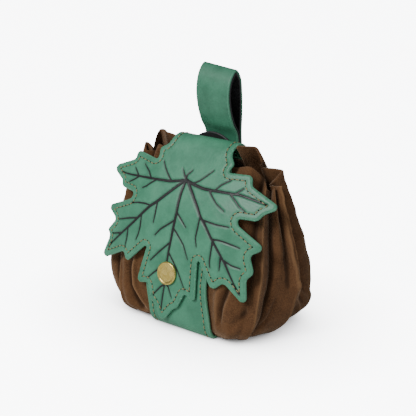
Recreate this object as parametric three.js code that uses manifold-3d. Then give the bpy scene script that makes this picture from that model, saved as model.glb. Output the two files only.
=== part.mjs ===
// A small medieval belt pouch: two gathered suede sides sewn to a leather centre band, closed by a maple
// leaf flap with a brass snap, and hung from a lined belt loop.
// Millimetres, +Z up, front towards -Y. The pouch stands on the flat bottom of its centre band.
import * as THREE from "three";
import { mergeVertices } from "three/addons/utils/BufferGeometryUtils.js";
import Module from "manifold-3d";

const wasm = await Module();
wasm.setup();

// Body
const body_height = 106; // top edge of the front band above the floor
const front_depth = 40; // centre plane to the front face of the band, at the belly
const back_depth = 41; // centre plane to the back face of the band, at the belly
const band_width = 50;
const band_lean = 7; // sideways, at the floor
const lean_height = 36; // the band is upright above this
const right_reach = 44; // how far the right suede side stands out from the edge of the band, at the belly
const left_reach = 48;
const rim_height = 99; // lowest part of the mouth's rim, at the sides
const gather_depth = 4.2; // height of the pleats at the rim, crest over mid line
const suede_bulge = 4; // how far the suede bulges past its seams, front and back, where it is fullest

// Leather
const band_thickness = 2.4;
const flap_thickness = 2.4;
const suede_thickness = 1.6;
const strap_thickness = 1.6;
const lining_thickness = 0.8;
const tab_thickness = 1.5;
const clearance = 0.3; // between pieces that touch on the real pouch
const seam_clearance = 0.6; // between the suede and the band that it is sewn to
const seam_allowance = 8; // suede tucked under each edge of the band
const end_round = 6; // rounding of the ends of the centre band
const bend_turn = 7; // degrees between two facets of a bent strip

// Leaf flap
const leaf_half_width = 66.5;
const leaf_length = 95.5; // vein centre to the tip of the middle lobe
const leaf_corner_round = 4; // length of each edge that a lobe's tip gives up to its rounding
const tip_clearance = 3; // corner of the leaf's tip above the floor, before it is rounded
const tongue_length = 42; // flap sewn down the back, below the crown
const tongue_half_width = 24;
const flap_slack = 1.6; // how far the flap stands off the band just below the mouth
const leaf_curl = 6.5; // how far the side lobes bend back at the full half width
const leaf_swing = 3; // degrees that the leaf hangs out of plumb at its tip
const crown_height = 118.5;
const crown_half_width = 24.5;
const crown_drop = 24; // height over which the flap turns down from the crown to the front

// Snap
const snap_diameter = 15;
const snap_head = 1.8;
const snap_rim = 0.9; // width of the bevel round the cap, and of the ridge inside it
const snap_post_diameter = 4;
const snap_washer_diameter = 9;
const snap_washer = 0.8;
const snap_from_centre = 61.5; // along the leaf from the vein centre
const snap_offset = -2; // sideways on the leaf

// Belt loop and its anchor tab
const strap_width = 26;
const loop_height = 163.5;
const loop_lean = 1; // sideways, at the top
const loop_roll = 5.5; // degrees, at the top
const tab_width = 44;
const tab_height = 119.5;
const tab_offset = -5; // sideways
const loop_belly = 10; // how far the front strand bulges forward of its sewn end
const sewn_end = 92; // height of the lower ends of strap and tab
const turn_height = crown_height - 8; // the flap's back starts to turn over the crown here

// A profile in the YZ plane, laid out by length. Its outer side is on the right of its direction.
class Profile {
  constructor(rows) {
    const curve = new THREE.CatmullRomCurve3(
      rows.map(([y, z]) => new THREE.Vector3(0, y, z)),
      false,
      "centripetal",
    );
    curve.arcLengthDivisions = 600;
    this.curve = curve;
    this.length = curve.getLength();
  }
  // Point, tangent and outward normal at a distance along the profile; straight on past its ends.
  // What would dip below the floor lies flat on it.
  at(distance) {
    const share = THREE.MathUtils.clamp(distance / this.length, 0, 1);
    const tangent = this.curve.getTangentAt(share);
    const point = this.curve.getPointAt(share);
    point.addScaledVector(tangent, distance - share * this.length);
    if (point.z < 0) {
      point.z = 0;
      tangent.set(0, 1, 0);
    }
    return {
      point,
      tangent,
      normal: new THREE.Vector3(0, tangent.z, -tangent.y),
    };
  }
  // Distance along the profile of its nearest point to a point.
  nearest(target) {
    const tries = 800;
    let best = 0;
    let least = Infinity;
    for (let i = 0; i <= tries; i++) {
      const gap = this.curve.getPointAt(i / tries).distanceTo(target);
      if (gap < least) {
        least = gap;
        best = (i / tries) * this.length;
      }
    }
    return best;
  }
}

// Outer face of the centre band, from the mouth down the front, under the body and up the back.
// Columns: share of the front or back depth, share of the body height.
const band_rows = [
  { depth: -0.21, height: 1.0 },
  { depth: -0.45, height: 0.86 },
  { depth: -0.64, height: 0.7 },
  { depth: -0.8, height: 0.51 },
  { depth: -0.92, height: 0.31 },
  { depth: -0.99, height: 0.14 },
  { depth: -1.0, height: 0.05 },
  { depth: -0.9, height: 0.0 },
  { depth: -0.5, height: 0.0 },
  { depth: 0.5, height: 0.0 },
  { depth: 0.86, height: 0.0 },
  { depth: 0.99, height: 0.07 },
  { depth: 1.0, height: 0.2 },
  { depth: 0.92, height: 0.36 },
  { depth: 0.72, height: 0.57 },
  { depth: 0.47, height: 0.77 },
  { depth: 0.25, height: 0.93 },
  { depth: 0.15, height: 1.02 },
];
const band_profile = new Profile(
  band_rows.map(({ depth, height }) => [
    depth * (depth < 0 ? front_depth : back_depth),
    height * body_height,
  ]),
);

// Builds a mesh from loose triangles, each an array of three vectors.
function meshOf(name, triangles, material) {
  const positions = triangles.flatMap((t) => t.flatMap((v) => [v.x, v.y, v.z]));
  const geometry = new THREE.BufferGeometry();
  geometry.setAttribute("position", new THREE.Float32BufferAttribute(positions, 3));
  geometry.computeVertexNormals();
  const mesh = new THREE.Mesh(geometry, material);
  mesh.name = name;
  return mesh;
}

// Cuts triangles along the plane where one coordinate has a value, so that they can bend there.
function cutAlong(triangles, axis, value) {
  const near = 0.02;
  const crossing = (a, b) => {
    const [low, high] = a[axis] < b[axis] ? [a, b] : [b, a];
    const share = (value - low[axis]) / (high[axis] - low[axis]);
    const point = low.clone().lerp(high, share);
    point[axis] = value;
    return point;
  };
  const pieces = [];
  for (const triangle of triangles) {
    const sides = triangle.map((v) =>
      Math.abs(v[axis] - value) < near ? 0 : Math.sign(v[axis] - value),
    );
    if (!sides.includes(1) || !sides.includes(-1)) {
      pieces.push(triangle);
      continue;
    }
    const on = sides.indexOf(0);
    if (on >= 0) {
      const [a, b, c] = [0, 1, 2].map((k) => triangle[(on + k) % 3]);
      const m = crossing(b, c);
      pieces.push([a, b, m], [a, m, c]);
      continue;
    }
    const lone = sides.findIndex((s, i) => s !== sides[(i + 1) % 3] && s !== sides[(i + 2) % 3]);
    const [a, b, c] = [0, 1, 2].map((k) => triangle[(lone + k) % 3]);
    const ab = crossing(a, b);
    const ac = crossing(a, c);
    pieces.push([a, ab, ac], [ab, b, c], [ab, c, ac]);
  }
  return pieces;
}

// Cuts a flat pattern from leather and lays it along a surface.
// Pattern: x is across, y is along. place(across, along, depth) gives the point in space.
function layLeather(name, pattern, thickness, bends, place, material) {
  const flat = new THREE.ExtrudeGeometry(pattern, {
    depth: thickness,
    bevelEnabled: false,
    curveSegments: bends.corner_facets,
  }).toNonIndexed();
  const position = flat.getAttribute("position");
  let triangles = [];
  for (let i = 0; i < position.count; i += 3)
    triangles.push([0, 1, 2].map((k) => new THREE.Vector3().fromBufferAttribute(position, i + k)));
  for (const value of bends.along) triangles = cutAlong(triangles, "y", value);
  for (const value of bends.across) triangles = cutAlong(triangles, "x", value);
  // Laying out swaps the hand of the pattern, so each triangle is turned over.
  const laid = triangles.map(([a, b, c]) => [a, c, b].map((v) => place(v.x, v.y, v.z)));
  return meshOf(name, laid, material);
}

// Places along a profile where a ribbon needs a bend line, so that no facet turns by more than a step.
function bendLines(profile, from, to, turn_deg) {
  const lines = [from];
  const step = (to - from) / 2000;
  let last = profile.at(from).tangent;
  for (let s = from; s < to; s += step) {
    const tangent = profile.at(s).tangent;
    if (THREE.MathUtils.radToDeg(tangent.angleTo(last)) > turn_deg) {
      lines.push(s);
      last = tangent;
    }
  }
  return lines;
}

// Lays a strip of leather along a surface: a loft of flat sections, one at each bend line.
// half(along) is the half width there. place(across, along, depth) gives the point in space.
function layStrip(name, half, thickness, lines, place, material) {
  const sections = lines.map((along) => {
    const w = half(along);
    return [
      place(-w, along, 0),
      place(w, along, 0),
      place(w, along, thickness),
      place(-w, along, thickness),
    ];
  });
  const triangles = [];
  for (let i = 0; i + 1 < sections.length; i++)
    for (let k = 0; k < 4; k++) {
      const [a, b] = [sections[i][k], sections[i][(k + 1) % 4]];
      const [c, d] = [sections[i + 1][(k + 1) % 4], sections[i + 1][k]];
      triangles.push([a, b, c], [a, c, d]);
    }
  const [first, last] = [sections[0], sections[sections.length - 1]];
  triangles.push([first[0], first[2], first[1]], [first[0], first[3], first[2]]);
  triangles.push([last[0], last[1], last[2]], [last[0], last[2], last[3]]);
  return meshOf(name, triangles, material);
}

// Half width of a strip whose ends, at from and to, are rounded off over a length.
function roundedEnds(half_width, from, to, round) {
  return (along) => {
    const inwards = Math.min(along - from, to - along, round) / round;
    return half_width - round * (1 - Math.sqrt(1 - (1 - inwards) ** 2));
  };
}

// Bend lines of a strip with rounded ends.
function stripLines(profile, from, to, round, turn_deg) {
  const rounding = [0.04, 0.15, 0.35, 0.65, 1];
  const inner = bendLines(profile, from + round, to - round, turn_deg);
  return [
    from,
    ...rounding.map((share) => from + share * round),
    ...inner.filter((line) => line > from + 1.1 * round && line < to - 1.1 * round),
    ...rounding.map((share) => to - share * round).reverse(),
    to,
  ];
}

// Materials
const green_leather = new THREE.MeshStandardMaterial({ color: 0x5f9f7e, roughness: 0.55, metalness: 0 });
const black_leather = new THREE.MeshStandardMaterial({ color: 0x1c1c1e, roughness: 0.6, metalness: 0 });
const brown_suede = new THREE.MeshStandardMaterial({ color: 0x5a3a22, roughness: 0.95, metalness: 0 });
const brass = new THREE.MeshStandardMaterial({ color: 0xc8a85a, roughness: 0.3, metalness: 1 });

// Centre band: one strip with rounded ends, its outer face on the band profile.
function centreBand() {
  const lines = stripLines(band_profile, 0, band_profile.length, end_round, bend_turn);
  const half = roundedEnds(band_width / 2, 0, band_profile.length, end_round);
  const place = (across, along, depth) => {
    const { point, normal } = band_profile.at(along);
    return point.addScaledVector(normal, depth - band_thickness).setX(across + leanAt(point.z));
  };
  return layStrip("centre_band", half, band_thickness, lines, place, green_leather);
}

// Outer face of the flap where it turns over the crown, from back to front.
// Columns: share of the back or front depth, share of crown_drop below the crown.
const crown_rows = [
  { depth: 0.2, below: 0.27 },
  { depth: 0.14, below: 0.105 },
  { depth: 0.04, below: 0.0125 },
  { depth: -0.06, below: 0.02 },
  { depth: -0.16, below: 0.145 },
  { depth: -0.28, below: 0.415 },
  { depth: -0.51, below: 1.0 },
];

// Outer face of the flap on the band, below the crown. The back rows lie on the band.
// Columns: height as a share of the body height, share of flap_slack.
const flap_back_rows = [
  { height: 0.62, slack: 0 },
  { height: 0.76, slack: 0 },
  { height: 0.88, slack: 0 },
  { height: 1.0, slack: 0 },
];
const flap_front_rows = [
  { height: 0.72, slack: 1 },
  { height: 0.55, slack: 0.3 },
  { height: 0.36, slack: 0.125 },
  { height: 0.2, slack: 0.125 },
  { height: 0.1, slack: 0.125 },
];

function flapProfile() {
  const tries = 400;
  const places = [];
  for (let i = 0; i <= tries; i++) places.push(band_profile.at((i / tries) * band_profile.length));
  const offBand = (side) => (row) => {
    const z = row.height * body_height;
    const nearest = places
      .filter(({ normal }) => Math.sign(normal.y) === side)
      .reduce((a, b) => (Math.abs(a.point.z - z) <= Math.abs(b.point.z - z) ? a : b));
    const standoff = clearance + flap_thickness + row.slack * flap_slack;
    const { point, normal } = nearest;
    return [point.y + normal.y * standoff, point.z + normal.z * standoff];
  };
  const overCrown = ({ depth, below }) => [
    depth * (depth < 0 ? front_depth : back_depth),
    crown_height - below * crown_drop,
  ];
  return new Profile([
    ...flap_back_rows.map(offBand(1)),
    ...crown_rows.map(overCrown),
    ...flap_front_rows.map(offBand(-1)),
  ]);
}
const flap_profile = flapProfile();

// The tip hangs just clear of the floor, and the vein centre is one leaf length above it.
const flap_end = flap_profile.at(flap_profile.length).point;
const tip_along = flap_profile.length + flap_end.z - tip_clearance;
const vein_centre_along = tip_along - leaf_length;

// Outline of the leaf on both sides, from its neck to its middle lobe. The two halves were cut by hand
// and differ. Columns: share of the half width, share of the leaf length below the vein centre, share of
// leaf_corner_round.
const right_leaf_rows = [
  { name: "neck_waist", across: 0.338, down: -0.230, round: 1.25 },
  { name: "neck_step", across: 0.414, down: -0.170, round: 0.38 },
  { name: "neck_notch", across: 0.380, down: -0.107, round: 0.50 },
  { name: "upper_lobe_tooth", across: 0.644, down: -0.128, round: 0.75 },
  { name: "upper_lobe_tooth_foot", across: 0.666, down: -0.061, round: 0.50 },
  { name: "upper_lobe_tip", across: 1.007, down: 0.026, round: 1.31 },
  { name: "upper_lobe_under", across: 0.862, down: 0.096, round: 0.50 },
  { name: "upper_lobe_lower_tooth", across: 0.822, down: 0.150, round: 0.65 },
  { name: "upper_notch", across: 0.627, down: 0.165, round: 0.62 },
  { name: "upper_notch_foot", across: 0.644, down: 0.207, round: 0.62 },
  { name: "side_lobe_upper_tooth", across: 0.955, down: 0.315, round: 1.18 },
  { name: "side_lobe_upper_foot", across: 0.815, down: 0.379, round: 0.62 },
  { name: "side_lobe_small_tooth", across: 0.887, down: 0.484, round: 0.71 },
  { name: "side_lobe_small_foot", across: 0.821, down: 0.532, round: 0.50 },
  { name: "side_lobe_tip", across: 0.873, down: 0.716, round: 1.70 },
  { name: "side_lobe_under", across: 0.602, down: 0.590, round: 0.75 },
  { name: "side_lobe_lower_tooth", across: 0.496, down: 0.668, round: 1.12 },
  { name: "lower_notch", across: 0.280, down: 0.476, round: 1.00 },
  { name: "middle_lobe_tooth", across: 0.329, down: 0.782, round: 0.91 },
  { name: "middle_lobe_foot", across: 0.192, down: 0.746, round: 0.38 },
  { name: "middle_lobe_bump", across: 0.129, down: 0.857, round: 0.62 },
  { name: "middle_lobe_low_foot", across: 0.080, down: 0.875, round: 0.50 },
];
const left_leaf_rows = [
  { name: "neck_waist", across: 0.411, down: -0.215, round: 0.75 },
  { name: "neck_step", across: 0.496, down: -0.181, round: 0.50 },
  { name: "neck_notch", across: 0.471, down: -0.090, round: 0.62 },
  { name: "upper_lobe_tooth", across: 0.773, down: -0.134, round: 0.75 },
  { name: "upper_lobe_tooth_foot", across: 0.780, down: -0.065, round: 0.50 },
  { name: "upper_lobe_tip", across: 1.103, down: 0.018, round: 1.86 },
  { name: "upper_lobe_under", across: 0.875, down: 0.109, round: 0.50 },
  { name: "upper_lobe_lower_tooth", across: 0.851, down: 0.156, round: 0.62 },
  { name: "upper_notch", across: 0.650, down: 0.174, round: 0.62 },
  { name: "upper_notch_foot", across: 0.666, down: 0.224, round: 0.62 },
  { name: "side_lobe_upper_tooth", across: 1.009, down: 0.330, round: 1.27 },
  { name: "side_lobe_upper_foot", across: 0.845, down: 0.404, round: 0.62 },
  { name: "side_lobe_small_tooth", across: 0.953, down: 0.498, round: 0.62 },
  { name: "side_lobe_small_foot", across: 0.899, down: 0.534, round: 0.50 },
  { name: "side_lobe_tip", across: 0.997, down: 0.735, round: 1.91 },
  { name: "side_lobe_under", across: 0.651, down: 0.603, round: 0.62 },
  { name: "side_lobe_lower_tooth", across: 0.592, down: 0.676, round: 0.90 },
  { name: "lower_notch", across: 0.341, down: 0.495, round: 0.75 },
  { name: "middle_lobe_tooth", across: 0.412, down: 0.783, round: 1.08 },
  { name: "middle_lobe_foot", across: 0.265, down: 0.756, round: 0.38 },
  { name: "middle_lobe_bump", across: 0.205, down: 0.863, round: 0.62 },
  { name: "middle_lobe_low_foot", across: 0.143, down: 0.886, round: 0.50 },
];
const leaf_tip = { across: -0.048, down: 1.0, round: 1.3 };
const shoulder_down = -0.36; // where the crown's edge starts, as a share of the leaf length
const shoulder_round = 1.5;
const tongue_round = 3;

// Adds a corner to a shape, rounded by a circular arc that starts and ends a distance from it. The
// distance is at most half of the shorter edge there, where the next corner's own rounding begins.
const edge_share = 0.48;
function roundCorner(shape, before, corner, after, round) {
  const [to_before, to_after] = [before, after].map((next) => corner.distanceTo(next));
  const reach = Math.min(round, edge_share * to_before, edge_share * to_after);
  const start = corner.clone().lerp(before, reach / to_before);
  const end = corner.clone().lerp(after, reach / to_after);
  const turn = Math.PI - before.clone().sub(corner).angleTo(after.clone().sub(corner));
  const pull = ((4 / 3) * Math.tan(turn / 4)) / Math.tan(turn / 2);
  const [from, to] = [start, end].map((point) => point.clone().lerp(corner, pull));
  shape.lineTo(start.x, start.y);
  shape.bezierCurveTo(from.x, from.y, to.x, to.y, end.x, end.y);
}

// Flat pattern of the whole flap, from the end of its tongue to the tip of the leaf.
function leafPattern() {
  const shoulder_along = vein_centre_along + shoulder_down * leaf_length;
  const tongue_start = Math.max(0, shoulder_along - tongue_length);
  const cornersOf = (rows, hand) => [
    { at: new THREE.Vector2(hand * tongue_half_width, tongue_start), round: tongue_round },
    { at: new THREE.Vector2(hand * crown_half_width, shoulder_along), round: shoulder_round },
    ...rows.map(({ across, down, round }) => ({
      at: new THREE.Vector2(hand * across * leaf_half_width, vein_centre_along + down * leaf_length),
      round,
    })),
  ];
  const [, , tip] = cornersOf([leaf_tip], 1);
  const corners = [...cornersOf(right_leaf_rows, 1), tip, ...cornersOf(left_leaf_rows, -1).reverse()];
  const shape = new THREE.Shape();
  const start = new THREE.Vector2(0, tongue_start);
  shape.moveTo(start.x, start.y);
  corners.forEach(({ at, round }, i) => {
    const before = i ? corners[i - 1].at : start;
    const after = i < corners.length - 1 ? corners[i + 1].at : start;
    roundCorner(shape, before, at, after, round * leaf_corner_round);
  });
  shape.lineTo(start.x, start.y);
  return { shape, tongue_start };
}

// Point of the flap: bent along its profile, its lobes curled back and the leaf swung out of plumb.
// The swing starts above the vein centre and the curl outside the band's edges.
const swing_start = vein_centre_along - 0.3 * leaf_length;
const swing_reach = 1.3 * leaf_length;
const curl_power = 1.4;
function placeOnFlap(across, along, depth) {
  const drop = THREE.MathUtils.clamp(along - swing_start, 0, swing_reach);
  const swing = THREE.MathUtils.degToRad(leaf_swing) * (drop / swing_reach);
  const turned_across = across * Math.cos(swing) - 0.5 * drop * Math.sin(swing);
  const turned_along = along + across * Math.sin(swing);
  const { point, normal } = flap_profile.at(turned_along);
  const free = THREE.MathUtils.smoothstep(along, swing_start, vein_centre_along);
  const beyond_band = Math.max(0, Math.abs(across) - band_width / 2) / (leaf_half_width - band_width / 2);
  const curl = leaf_curl * free * beyond_band ** curl_power;
  return point.addScaledVector(normal, depth - flap_thickness - curl).setX(turned_across);
}

// Places across the leaf where it bends, as shares of its half width, so that the curl is smooth.
const curl_lines = [0.39, 0.53, 0.68, 0.84, 1.0];

function leafFlap() {
  const { shape, tongue_start } = leafPattern();
  const bends = {
    along: bendLines(flap_profile, tongue_start, tip_along, 0.7 * bend_turn),
    across: curl_lines.flatMap((share) => [-share * leaf_half_width, share * leaf_half_width]),
    corner_facets: 2,
  };
  return layLeather("leaf_flap", shape, flap_thickness, bends, placeOnFlap, green_leather);
}

// Suede sides
// Sections of a side from the pole, in the middle of the bottom seam, to the rim of the mouth.
// Columns: share of the way along the seam; reach and height of the side line as shares of the side's
// reach and of rim_height; front and back bulge past the seam as shares of suede_bulge; how square the
// section is (1 is an ellipse, less is squarer); share of the pleats' full height.
const right_rows = [
  { seam: 0.0, reach: 0.0, height: 0.02, front: 0, back: 0, square: 0.8, pleat: 0 },
  { seam: 0.12, reach: 0.26, height: 0.012, front: 0.25, back: 0.25, square: 0.75, pleat: 0 },
  { seam: 0.22, reach: 0.48, height: 0.012, front: 0.5, back: 0.25, square: 0.78, pleat: 0.1 },
  { seam: 0.3, reach: 0.72, height: 0.1, front: 1, back: 0.5, square: 0.82, pleat: 0.5 },
  { seam: 0.37, reach: 0.89, height: 0.21, front: 1, back: 0.5, square: 0.88, pleat: 0.8 },
  { seam: 0.46, reach: 0.98, height: 0.35, front: 0.5, back: 0.5, square: 0.94, pleat: 1.0 },
  { seam: 0.55, reach: 0.97, height: 0.48, front: 0, back: 0.5, square: 1.0, pleat: 1.05 },
  { seam: 0.68, reach: 0.88, height: 0.66, front: 0, back: 0.5, square: 1.0, pleat: 1.0 },
  { seam: 0.84, reach: 0.75, height: 0.85, front: -0.25, back: 0.75, square: 1.0, pleat: 1.0 },
  { seam: 1.0, reach: 0.64, height: 1.0, front: 0, back: 1.75, square: 1.0, pleat: 1.0 },
];
const left_rows = [
  { seam: 0.0, reach: 0.0, height: 0.02, front: 0, back: 0, square: 0.8, pleat: 0 },
  { seam: 0.12, reach: 0.3, height: 0.008, front: 0.25, back: 0.25, square: 0.75, pleat: 0 },
  { seam: 0.24, reach: 0.64, height: 0.004, front: 0.5, back: 0.25, square: 0.75, pleat: 0.08 },
  { seam: 0.3, reach: 0.86, height: 0.07, front: 1, back: 0.5, square: 0.8, pleat: 0.6 },
  { seam: 0.37, reach: 0.97, height: 0.19, front: 1, back: 0.5, square: 0.86, pleat: 1 },
  { seam: 0.46, reach: 0.99, height: 0.34, front: 0.5, back: 0.5, square: 0.92, pleat: 1.05 },
  { seam: 0.55, reach: 0.96, height: 0.48, front: 0, back: 0.5, square: 1.0, pleat: 0.95 },
  { seam: 0.68, reach: 0.88, height: 0.66, front: 0, back: 0.5, square: 1.0, pleat: 0.95 },
  { seam: 0.84, reach: 0.75, height: 0.85, front: -0.25, back: 0.75, square: 1.0, pleat: 1.0 },
  { seam: 1.0, reach: 0.64, height: 1.0, front: 0, back: 1.75, square: 1.0, pleat: 1.0 },
];

// Pleats round a side, from the front seam (0) to the back seam (1).
// Columns: place at the rim; place at the bottom; height at the rim and at the bottom as shares of the
// gather depth; how sharp the fold is (0 is round, above 1 is a crease); how far the rim stands up there
// and how far it curls forward, as shares of the rim height.
const right_pleats = [
  { rim: 0, hem: 0, height: 0, low: 0, sharp: 0, rise: 0, curl: 0 },
  { rim: 0.14, hem: 0.08, height: 0.6, low: 0.2, sharp: 0, rise: 0.025, curl: 0 },
  { rim: 0.25, hem: 0.17, height: -0.7, low: -0.3, sharp: 1, rise: -0.01, curl: 0 },
  { rim: 0.3, hem: 0.235, height: 0.7, low: 0.7, sharp: 1.3, rise: -0.075, curl: 0 },
  { rim: 0.35, hem: 0.27, height: -1.1, low: -0.9, sharp: 1.5, rise: -0.075, curl: 0 },
  { rim: 0.41, hem: 0.34, height: 0.6, low: -0.3, sharp: 0.3, rise: -0.05, curl: 0 },
  { rim: 0.455, hem: 0.38, height: -0.7, low: 0.1, sharp: 1, rise: -0.05, curl: 0 },
  { rim: 0.5, hem: 0.43, height: 1, low: 1.2, sharp: 1.5, rise: -0.03, curl: 0 },
  { rim: 0.58, hem: 0.55, height: -0.9, low: -1.1, sharp: 0.2, rise: -0.03, curl: 0 },
  { rim: 0.68, hem: 0.67, height: 1.1, low: 0.7, sharp: 0, rise: 0.01, curl: 0.01 },
  { rim: 0.79, hem: 0.78, height: -1, low: -0.7, sharp: 0.8, rise: 0.02, curl: 0.02 },
  { rim: 0.89, hem: 0.89, height: 1, low: 0.5, sharp: 0, rise: 0.1, curl: 0.08 },
  { rim: 0.97, hem: 0.96, height: 0.2, low: 0, sharp: 0, rise: 0.12, curl: 0.13 },
  { rim: 1, hem: 1, height: 0, low: 0, sharp: 0, rise: 0, curl: 0 },
];
const left_pleats = [
  { rim: 0, hem: 0, height: 0, low: 0, sharp: 0, rise: 0, curl: 0 },
  { rim: 0.12, hem: 0.12, height: 0.4, low: 0.3, sharp: 0, rise: 0.05, curl: 0 },
  { rim: 0.21, hem: 0.21, height: -1, low: -0.7, sharp: 1.2, rise: 0.02, curl: 0 },
  { rim: 0.3, hem: 0.29, height: 0.8, low: 0.9, sharp: 0.8, rise: 0, curl: 0 },
  { rim: 0.37, hem: 0.36, height: -1, low: -0.9, sharp: 1.3, rise: -0.02, curl: 0 },
  { rim: 0.44, hem: 0.44, height: 1, low: 1, sharp: 0.6, rise: -0.02, curl: 0 },
  { rim: 0.5, hem: 0.51, height: -1, low: -0.8, sharp: 1, rise: -0.03, curl: 0 },
  { rim: 0.58, hem: 0.6, height: 1, low: 0.7, sharp: 0, rise: 0.045, curl: 0 },
  { rim: 0.66, hem: 0.68, height: -1, low: -0.6, sharp: 1, rise: 0.03, curl: 0 },
  { rim: 0.74, hem: 0.76, height: 1.3, low: 0.6, sharp: 0, rise: 0.1, curl: 0.02 },
  { rim: 0.85, hem: 0.86, height: -0.3, low: -0.4, sharp: 0.6, rise: 0.1, curl: 0.03 },
  { rim: 0.94, hem: 0.94, height: 0.4, low: 0.3, sharp: 0, rise: 0.07, curl: 0.03 },
  { rim: 1, hem: 1, height: 0, low: 0, sharp: 0, rise: 0, curl: 0 },
];

const pleats_change_from = 0.35; // place along the seam where the heights at the bottom begin to give way
const pleats_change_to = 0.95;

// Value between two values with a slope at each; the slopes are for the whole span.
function hermite(from, to, slope_from, slope_to, share) {
  const [s, s2, s3] = [share, share ** 2, share ** 3];
  const ends = from * (2 * s3 - 3 * s2 + 1) + to * (3 * s2 - 2 * s3);
  return ends + slope_from * (s3 - 2 * s2 + s) + slope_to * (s3 - s2);
}

// Index of the last row before a place, for rows sorted by place.
function rowBefore(places, place) {
  const after = places.findIndex((each) => each > place);
  return after < 0 ? places.length - 2 : Math.max(0, after - 1);
}

// Value of a column of a side's rows at a place along the seam, smooth between the rows.
function fromRows(rows, column, seam) {
  const k = rowBefore(rows.map((row) => row.seam), seam);
  const [r0, r1] = [rows[k], rows[k + 1]];
  const before = rows[Math.max(0, k - 1)];
  const after = rows[Math.min(rows.length - 1, k + 2)];
  const span = r1.seam - r0.seam;
  const slope_from = (span * (r1[column] - before[column])) / (r1.seam - before.seam);
  const slope_to = (span * (after[column] - r0[column])) / (after.seam - r0.seam);
  return hermite(r0[column], r1[column], slope_from, slope_to, (seam - r0.seam) / span);
}

// Height, rise or curl of the pleats round a side: a cubic from row to row.
function pleatWave(pleats, column, round, seam) {
  const places = pleats.map(({ rim, hem }) => hem + (rim - hem) * seam);
  const k = rowBefore(places, round);
  const share = THREE.MathUtils.clamp((round - places[k]) / (places[k + 1] - places[k]), 0, 1);
  const up = THREE.MathUtils.smoothstep(seam, pleats_change_from, pleats_change_to);
  const value = (row) => (column === "height" ? row.low + (row.height - row.low) * up : row[column]);
  const [from, to] = [value(pleats[k]), value(pleats[k + 1])];
  return hermite(from, to, pleats[k].sharp * (to - from), pleats[k + 1].sharp * (to - from), share);
}

// Sideways lean of the band: none above lean_height, full at the floor.
function leanAt(height) {
  return band_lean * (1 - THREE.MathUtils.smoothstep(height, 0, lean_height));
}

const pole_along = band_profile.nearest(new THREE.Vector3(0, 0, 0));
const suede_inset = band_thickness + seam_clearance; // outer face of the suede below the band's outer face

// The band's place at a seam: way is -1 for the front seam and 1 for the back seam.
function bandAtSeam(seam, way) {
  const room = way < 0 ? pole_along : band_profile.length - pole_along;
  return band_profile.at(pole_along + way * seam * room);
}

function seamPoint(seam, way) {
  const { point, normal } = bandAtSeam(seam, way);
  return point.addScaledVector(normal, -suede_inset);
}

// Smooth form of a side without its pleats; round runs from 0 at the front seam to 1 at the back seam.
const bulge_gain = 1.8; // the bulge is full wherever the section stands out by more than 1 / 1.8
const seam_pull = 1.6; // power with which a section's height goes from the side line's to the seam's
function sideForm(side, round, seam) {
  const front = seamPoint(seam, -1);
  const back = seamPoint(seam, 1);
  const theta = (round - 0.5) * Math.PI;
  const square = fromRows(side.rows, "square", seam);
  const out = Math.abs(Math.cos(theta)) ** square;
  const swing = Math.sign(theta) * Math.abs(Math.sin(theta)) ** square;
  const middle_y = (front.y + back.y) / 2;
  const half_y = (back.y - front.y) / 2;
  const seam_z = theta < 0 ? front.z : back.z;
  const side_z = fromRows(side.rows, "height", seam) * rim_height;
  const full_bulge = suede_bulge * fromRows(side.rows, theta < 0 ? "front" : "back", seam);
  const bulge = full_bulge * Math.min(1, out * bulge_gain);
  return new THREE.Vector3(
    band_width / 2 + fromRows(side.rows, "reach", seam) * side.reach * out,
    middle_y + (half_y + bulge) * swing,
    side_z + (seam_z - side_z) * Math.abs(swing) ** seam_pull,
  );
}

// Outward normal of the smooth form, which becomes the band's own at the seams.
const seam_reach = 0.06; // share of the way round over which it does so
function sideNormal(side, round, seam) {
  const round_step = 0.004;
  const seam_step = 0.03; // long enough to bridge the sharp bends of the band's inner side
  const s = Math.max(seam, seam_step);
  const r = THREE.MathUtils.clamp(round, round_step, 1 - round_step);
  const along = sideForm(side, r, Math.min(1, s + seam_step)).sub(sideForm(side, r, s - seam_step));
  const across = sideForm(side, r + round_step, s).sub(sideForm(side, r - round_step, s));
  const free = THREE.MathUtils.smoothstep(Math.min(round, 1 - round), 0, seam_reach);
  const { normal } = bandAtSeam(seam, round < 0.5 ? -1 : 1);
  return normal.lerp(across.cross(along).normalize(), free).normalize();
}

// Point on the outer (depth 0) or inner (depth 1) face of a side. The wall thickens on steep pleats.
const steepest_wall = 1.8;
const rise_power = 6; // the rim's rise fades downwards with this power of the way along the seam
const curl_fade = 14; // and its curl with this one
function sidePoint(side, round, seam, depth) {
  const high = gather_depth * fromRows(side.rows, "pleat", seam);
  const wave = (place) => high * pleatWave(side.pleats, "height", place, seam);
  const rise = rim_height * seam ** rise_power * pleatWave(side.pleats, "rise", round, seam);
  const curl = rim_height * seam ** curl_fade * pleatWave(side.pleats, "curl", round, seam);
  const step = 0.01;
  const [before, after] = [Math.max(0, round - step), Math.min(1, round + step)];
  const width = sideForm(side, after, seam).distanceTo(sideForm(side, before, seam));
  const slope = Math.abs(wave(after) - wave(before)) / Math.max(width, 1);
  const wall = suede_thickness * Math.min(steepest_wall, Math.hypot(1, slope));
  const point = sideForm(side, round, seam);
  point.addScaledVector(sideNormal(side, round, seam), wave(round) - depth * wall);
  return point.set(point.x, point.y - curl, Math.max(point.z + rise, depth * wall));
}

// Places along the seam where a side's facets meet, closer together where it turns up off the floor.
const seam_lines = [0, 0.08, 0.16, 0.21, 0.24, 0.265, 0.29, 0.32, 0.36, 0.42, 0.5, 0.59, 0.68, 0.78, 0.89, 1];
const facets_to_a_pleat = 3; // between a ridge and the next valley

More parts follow.
